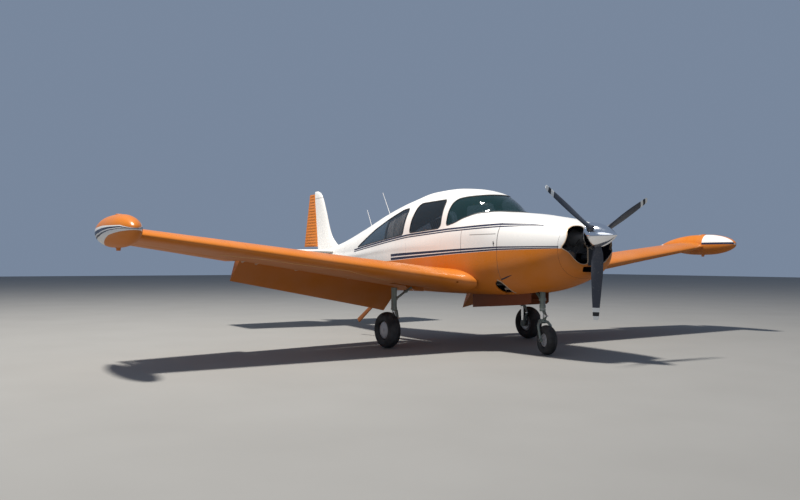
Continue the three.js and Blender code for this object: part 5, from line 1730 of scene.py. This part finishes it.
def curtain(side, name):
    u, v = np.meshgrid(np.linspace(0, 1, CURTAIN_COLUMNS), np.linspace(0, 1, CURTAIN_ROWS))
    low_x, high_x = CURTAIN_X + 0.506 * u, CURTAIN_X + 0.536 * u
    low_z, high_z = 1.594 + 0.048 * u, 1.886 + 0.108 * u
    x, z = blend(low_x, high_x, v), blend(low_z, high_z, v)
    fold = np.sin(2 * math.pi * (u * 11 + 0.30 * np.sin(u * 9) + 0.10 * np.sin(v * 3 + u * 21)))
    depth = CURTAIN_DEPTH + FOLD_DEPTH * fold * (0.75 + 0.25 * (1 - v))
    points = np.stack([x.ravel(), np.full(x.size, side * 0.5), z.ravel()], axis=1)
    for _ in range(6):
        points[:, 1] += side * (depth_under_skin(points) - depth.ravel())
    index = np.arange(x.size).reshape(x.shape)
    faces = np.stack([index[:-1, :-1], index[:-1, 1:], index[1:, 1:], index[1:, :-1]], axis=-1).reshape(-1, 4)
    piece = new_piece(f"curtain_cloth_{name}", points, faces.tolist())
    thicken = piece.modifiers.new("cloth", "SOLIDIFY")
    thicken.thickness, thicken.offset = 0.0012, 0
    settle(piece)
    dress(piece, curtain_grey, "airframe", [f"curtain_{name}"], 70)
    rail_points = [Vector(points[k]) for k in index[-1, ::27]]
    rail_points = [Vector((p.x, side * (abs(p.y) - 0.003), p.z + 0.004)) for p in rail_points]
    rail = tube(f"curtain_rail_{name}", rail_points, 0.0035, 10)
    dress(rail, bare_alloy, "airframe")


def curtain_cloth():
    """Grey cloth with painted shade in the hollow of each pleat."""
    cloth = Finish("curtain_cloth")
    # A sine wave along the cloth paints shade into each pleat's hollow.
    pleat_shade = cloth.ramp(cloth.math("SINE", cloth.math("MULTIPLY", cloth.x, 2 * math.pi / PLEAT)), -1.0, 1.0)
    cloth.set(Base_Color=cloth.mix(pleat_shade, (0.14, 0.14, 0.145), (0.52, 0.52, 0.53)))
    cloth.set(Roughness=cloth.ramp(cloth.noise(500.0), 0.2, 0.8, 0.82, 0.96), Sheen_Weight=0.3)
    cloth.bump(cloth.noise(500.0), 0.0006, 0.6)
    return cloth.material


curtain_grey = curtain_cloth()
for side, name in SIDES:
    curtain(side, name)
posts = common(block("window_posts", (-0.285, -0.7, 1.55), (-0.262, 0.7, 1.95)), shell(0.012, 0.030))
dress(posts, headliner, "airframe")
print("curtains hung")

# %% [markdown]
# The last pieces are small: aerials, latches, hinges, caps and strips. Each one sits on the surface that
# carries it; for the caps, drains, strips and brackets the place is found by dropping a ray onto that surface.

# %% Finding a surface
trees = {}


def hit(piece, origin, way):
    """The place and slope where a ray meets a piece."""
    if piece.name not in trees:
        graph = bmesh.new()
        graph.from_mesh(piece.data)
        trees[piece.name] = BVHTree.FromBMesh(graph)
        graph.free()
    place, normal, _, _ = trees[piece.name].ray_cast(Vector(origin), Vector(way))
    return place, normal


def under(piece, x, y):
    return hit(piece, (x, y, 0.0), (0, 0, 1))


def over(piece, x, y):
    return hit(piece, (x, y, 4.0), (0, 0, -1))


def line_under(piece, start, end, count, last=False):
    """Places on a piece's underside along a straight line seen from above."""
    places = (under(piece, blend(start[0], end[0], k / count), blend(start[1], end[1], k / count))[0]
              for k in range(count + last))
    return [place for place in places if place]


print("surface finder ready")

# %% [markdown]
# Two whip aerials stand on the roof. The boarding step is a thin plate with a few treads, and a gritty
# walkway on the port wing root is the wing's own surface, lifted by about a millimetre.

# %% Aerials, step and walkway
# Columns: name, foot, head
AERIALS = [("front", (-0.865, 0, 2.001), (-1.120, 0, 2.420)), ("rear", (-1.470, 0, 1.823), (-1.640, 0, 2.150))]
AERIAL_FOOT = [(-0.02, 0.020), (0.004, 0.018), (0.022, 0.009), (0.040, 0.006)]
STEP_SIDE = [(-0.944, 0.268), (-0.892, 0.208), (-0.858, 0.234), (0.030, 0.784), (-0.040, 0.790)]
for name, foot, head in AERIALS:
    reach = Vector(head) - Vector(foot)
    way = reach.normalized()
    whip = spool("whip", [(0, 0.0048), (0.08, 0.0046), (reach.length, 0.003)], foot, way, 16)
    aerial = joined(f"aerial_{name}", [whip, spool("foot", AERIAL_FOOT, foot, way, 24)])
    dress(aerial, plain_white, "airframe", [f"antenna_{name}"])
# The step's brown is painted shade: a darker copy of the orange paint, for a step that stands under the wing.
step_shaded_orange = gloss(Finish("step_enamel_painted_shade"), (0.24, 0.070, 0.008), 0.4).material
step = side_plate("step_plate", STEP_SIDE, -0.612, -0.588)
soften = step.modifiers.new("soften", "BEVEL")
soften.width, soften.segments, soften.limit_method = 0.005, 3, "NONE"
settle(step)
treads = [(-0.936 + 0.012 * k, 0.264 - 0.014 * k) for k in range(4)]
treads = [rod("tread", (x, -0.616, z), (x, -0.584, z), 0.004, 10) for x, z in treads]
cut(step, wings[1], keep=True)
dress(joined("step_skin", [step, *treads]), step_shaded_orange, "airframe", ["boarding_step"])
walk = common(wing_blank(0.0012), block("walk_area", (-0.12, 0.640, 0.80), (1.55, 0.960, 1.30)))
underside = block("underside", (-1, 0.5, 0.3), (2.4, 1.1, 0.90))
cut(walk, wing_blank(0.0), underside, hinge_room(FLAP_OUT), hull(0.0))
walk.name = "wing_walk"
dress(walk, dull("walk_grit", (0.025, 0.025, 0.026), 0.9, 500, 0.001), "airframe")
print("wing walk faces:", len(walk.data.polygons))

# %% [markdown]
# Under each wing a sealing strip covers a long seam, and brackets reach back to the flap. Fuel caps
# and drains stand square to the surface, so they take their direction from its slope.

# %% Strips, brackets and caps
SEAM_LINE = [(1.308, 3.885), (1.602, 3.490), (1.667, 2.983), (1.754, 2.316), (1.570, 1.872), (1.436, 1.500)]
ROOT_LINE = [(0.844, 0.727), (0.700, 0.600)]
BRACKETS_Y = (1.679, 2.560, 3.171, 3.370)
# Profiles list (distance along the axis, radius)
WING_CAP = [(-0.004, 0.038), (0.0015, 0.037), (0.0025, 0.034), (0.0025, 0.012), (0.005, 0.010)]
TANK_CAP = [(-0.004, 0.034), (0.0015, 0.033), (0.0025, 0.030), (0.0025, 0.011), (0.005, 0.009)]
TANK_DRAIN = [(-0.004, 0.020), (0.004, 0.017), (0.012, 0.008), (0.014, 0.005)]
# The strip's light tan is partly painted highlight: a real raised strip, coloured lighter than the orange so
# that it shows as a bright line along the seam.
seal_strip_and_highlight = metal("seal_strip_and_highlight", (0.70, 0.42, 0.18), 0.4, 70, 0.0002, metallic=0.2)


def flap_bracket(skin, side, y):
    x, _, z = hinge_nose(y)[2]
    fore, _ = under(skin, x + 0.16, side * y)
    outline = [(x + 0.028, z - 0.020), (x + 0.034, z - 0.060), (x + 0.060, z - 0.075), (fore.x, fore.z + 0.001),
               (fore.x, fore.z + 0.012), (x + 0.040, z)]
    return side_plate("bracket", outline, side * y - 0.007, side * y + 0.007)


for (side, name), skin in zip(SIDES, wings):
    seam = [(x, side * y) for x, y in SEAM_LINE]
    line = [place for ends in zip(seam, seam[1:]) for place in line_under(skin, *ends, 16)]
    dress(tube(f"underside_seam_{name}", line, 0.0042, 10), seal_strip_and_highlight, "airframe")
    strip = line_under(skin, *[(x, side * y) for x, y in ROOT_LINE], 6, last=True)
    if len(strip) > 2:
        dress(tube(f"root_strip_{name}", strip, 0.007, 10), bare_alloy, "airframe")
    brackets = joined(f"flap_brackets_{name}", [flap_bracket(skin, side, y) for y in BRACKETS_Y])
    dress(brackets, worn_edge, "airframe")
    spindle = tank_hull() if side > 0 else mirrored(tank_hull(), "spindle")
    caps = [spool("cap", WING_CAP, *over(skin, 1.150, side * 1.75), 36),
            spool("cap", TANK_CAP, *over(spindle, 1.55, side * TANK_Y), 36)]
    drain = spool(f"tank_drain_{name}", TANK_DRAIN, *under(spindle, 1.62, side * TANK_Y), 24)
    dress(drain, orange_paint, "airframe")
    dress(joined(f"fuel_caps_{name}", caps), bare_alloy, "airframe")
    trees.clear()
    drop(*[thing for thing in bpy.data.objects if thing.name in ("tank", "spindle", "tank.001")])
print("strips, brackets and caps placed")

# %% [markdown]
# What is left sits on the body's side: a slot and a latch on each half of the cowl, and the handle and
# the hinge barrels of the door. Their places come from the body's own surface.

# %% Latches, slots and door fittings
LATCH = [(-0.004, 0), (-0.004, 0.014), (0.0015, 0.013), (0.002, 0.0)]
ESCUTCHEON = [(-0.004, 0), (-0.004, 0.030), (0.002, 0.028), (0.003, 0)]
DOOR_HINGE_X = 1.366


def on_side(x, z, side, out=0.0):
    y = surface_y(x, z, side)
    return Vector((x, y + side * out, z))


for side, name in SIDES:
    slot_line = [on_side(2.611 + 0.208 * t, 0.987 + 0.062 * t, side, -0.002) for t in (0, 0.25, 0.5, 0.75, 1)]
    slot = tube(f"cowl_slot_{name}", slot_line, [0.010, 0.010, 0.009, 0.006, 0.003], 10)
    # The slot's near-black is painted shade in its opening.
    dress(slot, dark_void, "airframe")
    at = on_side(2.538, 1.462, side)
    top, foot = at + Vector((-0.003, side * 0.004, 0.030)), at + Vector((0.003, side * 0.001, -0.030))
    latch = [turned("latch", LATCH, at, (0, side, 0), 24), rod("lever", top, foot, 0.0045, 12)]
    dress(joined(f"cowl_latch_{name}", latch), black_trim, "airframe")
at = on_side(0.640, 1.530, 1)
grip = [at + Vector(step) for step in ((0, 0.003, 0), (0, 0.020, 0), (0.020, 0.026, 0), (0.110, 0.024, 0))]
handle = [turned("escutcheon", ESCUTCHEON, at, (0, 1, 0), 32),
          tube("handle", grip, [0.008, 0.008, 0.007, 0.005], 12)]
dress(joined("door_handle", handle), chrome, "door")
ends = [[on_side(DOOR_HINGE_X, z, 1, 0.001) for z in (low, low + 0.070)] for low in (1.42, 1.60)]
hinges = [rod("hinge", foot, head, 0.0055, 16) for foot, head in ends]
dress(joined("door_hinge_barrels", hinges), plain_white, "airframe")
print("latches and door fittings placed")

# %% [markdown]
# A studio floor and the lights come last, because they belong to the picture and not to the aircraft.
# One lamp stands for the high sun, a wide weak one lifts the shadows, and the sky fills the rest.

# %% Floor, sky and lamps
def studio():
    floor = block("floor", (-60, -60, -0.05), (60, 60, -0.0005))
    ground = Finish("pale_floor")
    ground.set(Base_Color=ground.mix(ground.noise(0.8, 5.0), (0.205, 0.200, 0.190), (0.240, 0.235, 0.225)))
    ground.set(Roughness=0.8)
    floor.data.materials.append(ground.material)
    world = bpy.data.worlds.new("sky")
    bpy.context.scene.world = world
    world.use_nodes = True
    background = world.node_tree.nodes["Background"]
    background.inputs["Color"].default_value = (0.50, 0.64, 0.88, 1)
    background.inputs["Strength"].default_value = 0.38
    # Columns: name, place, aim, size, power, colour
    lamps = [
        ("key", (-1.5, -6.5, 22), (0.5, -0.5, 1), 2.0, 9800, (1.0, 0.96, 0.89)),
        ("fill", (8, -14, 7), (1, -1, 1), 8.0, 160, (1.0, 1.0, 1.0)),
    ]
    for name, place, aim, size, power, colour in lamps:
        lamp = bpy.data.lights.new(name, "AREA")
        lamp.shape, lamp.size, lamp.energy, lamp.color = "DISK", size, power, colour
        stand = bpy.data.objects.new(name, lamp)
        stand.location = place
        stand.rotation_mode = "QUATERNION"
        stand.rotation_quaternion = (Vector(place) - Vector(aim)).to_track_quat("Z", "Y")
        bpy.context.scene.collection.objects.link(stand)
    bpy.context.scene.view_settings.view_transform = "Standard"
    print("studio: floor, sky and", len(lamps), "lamps")


studio()
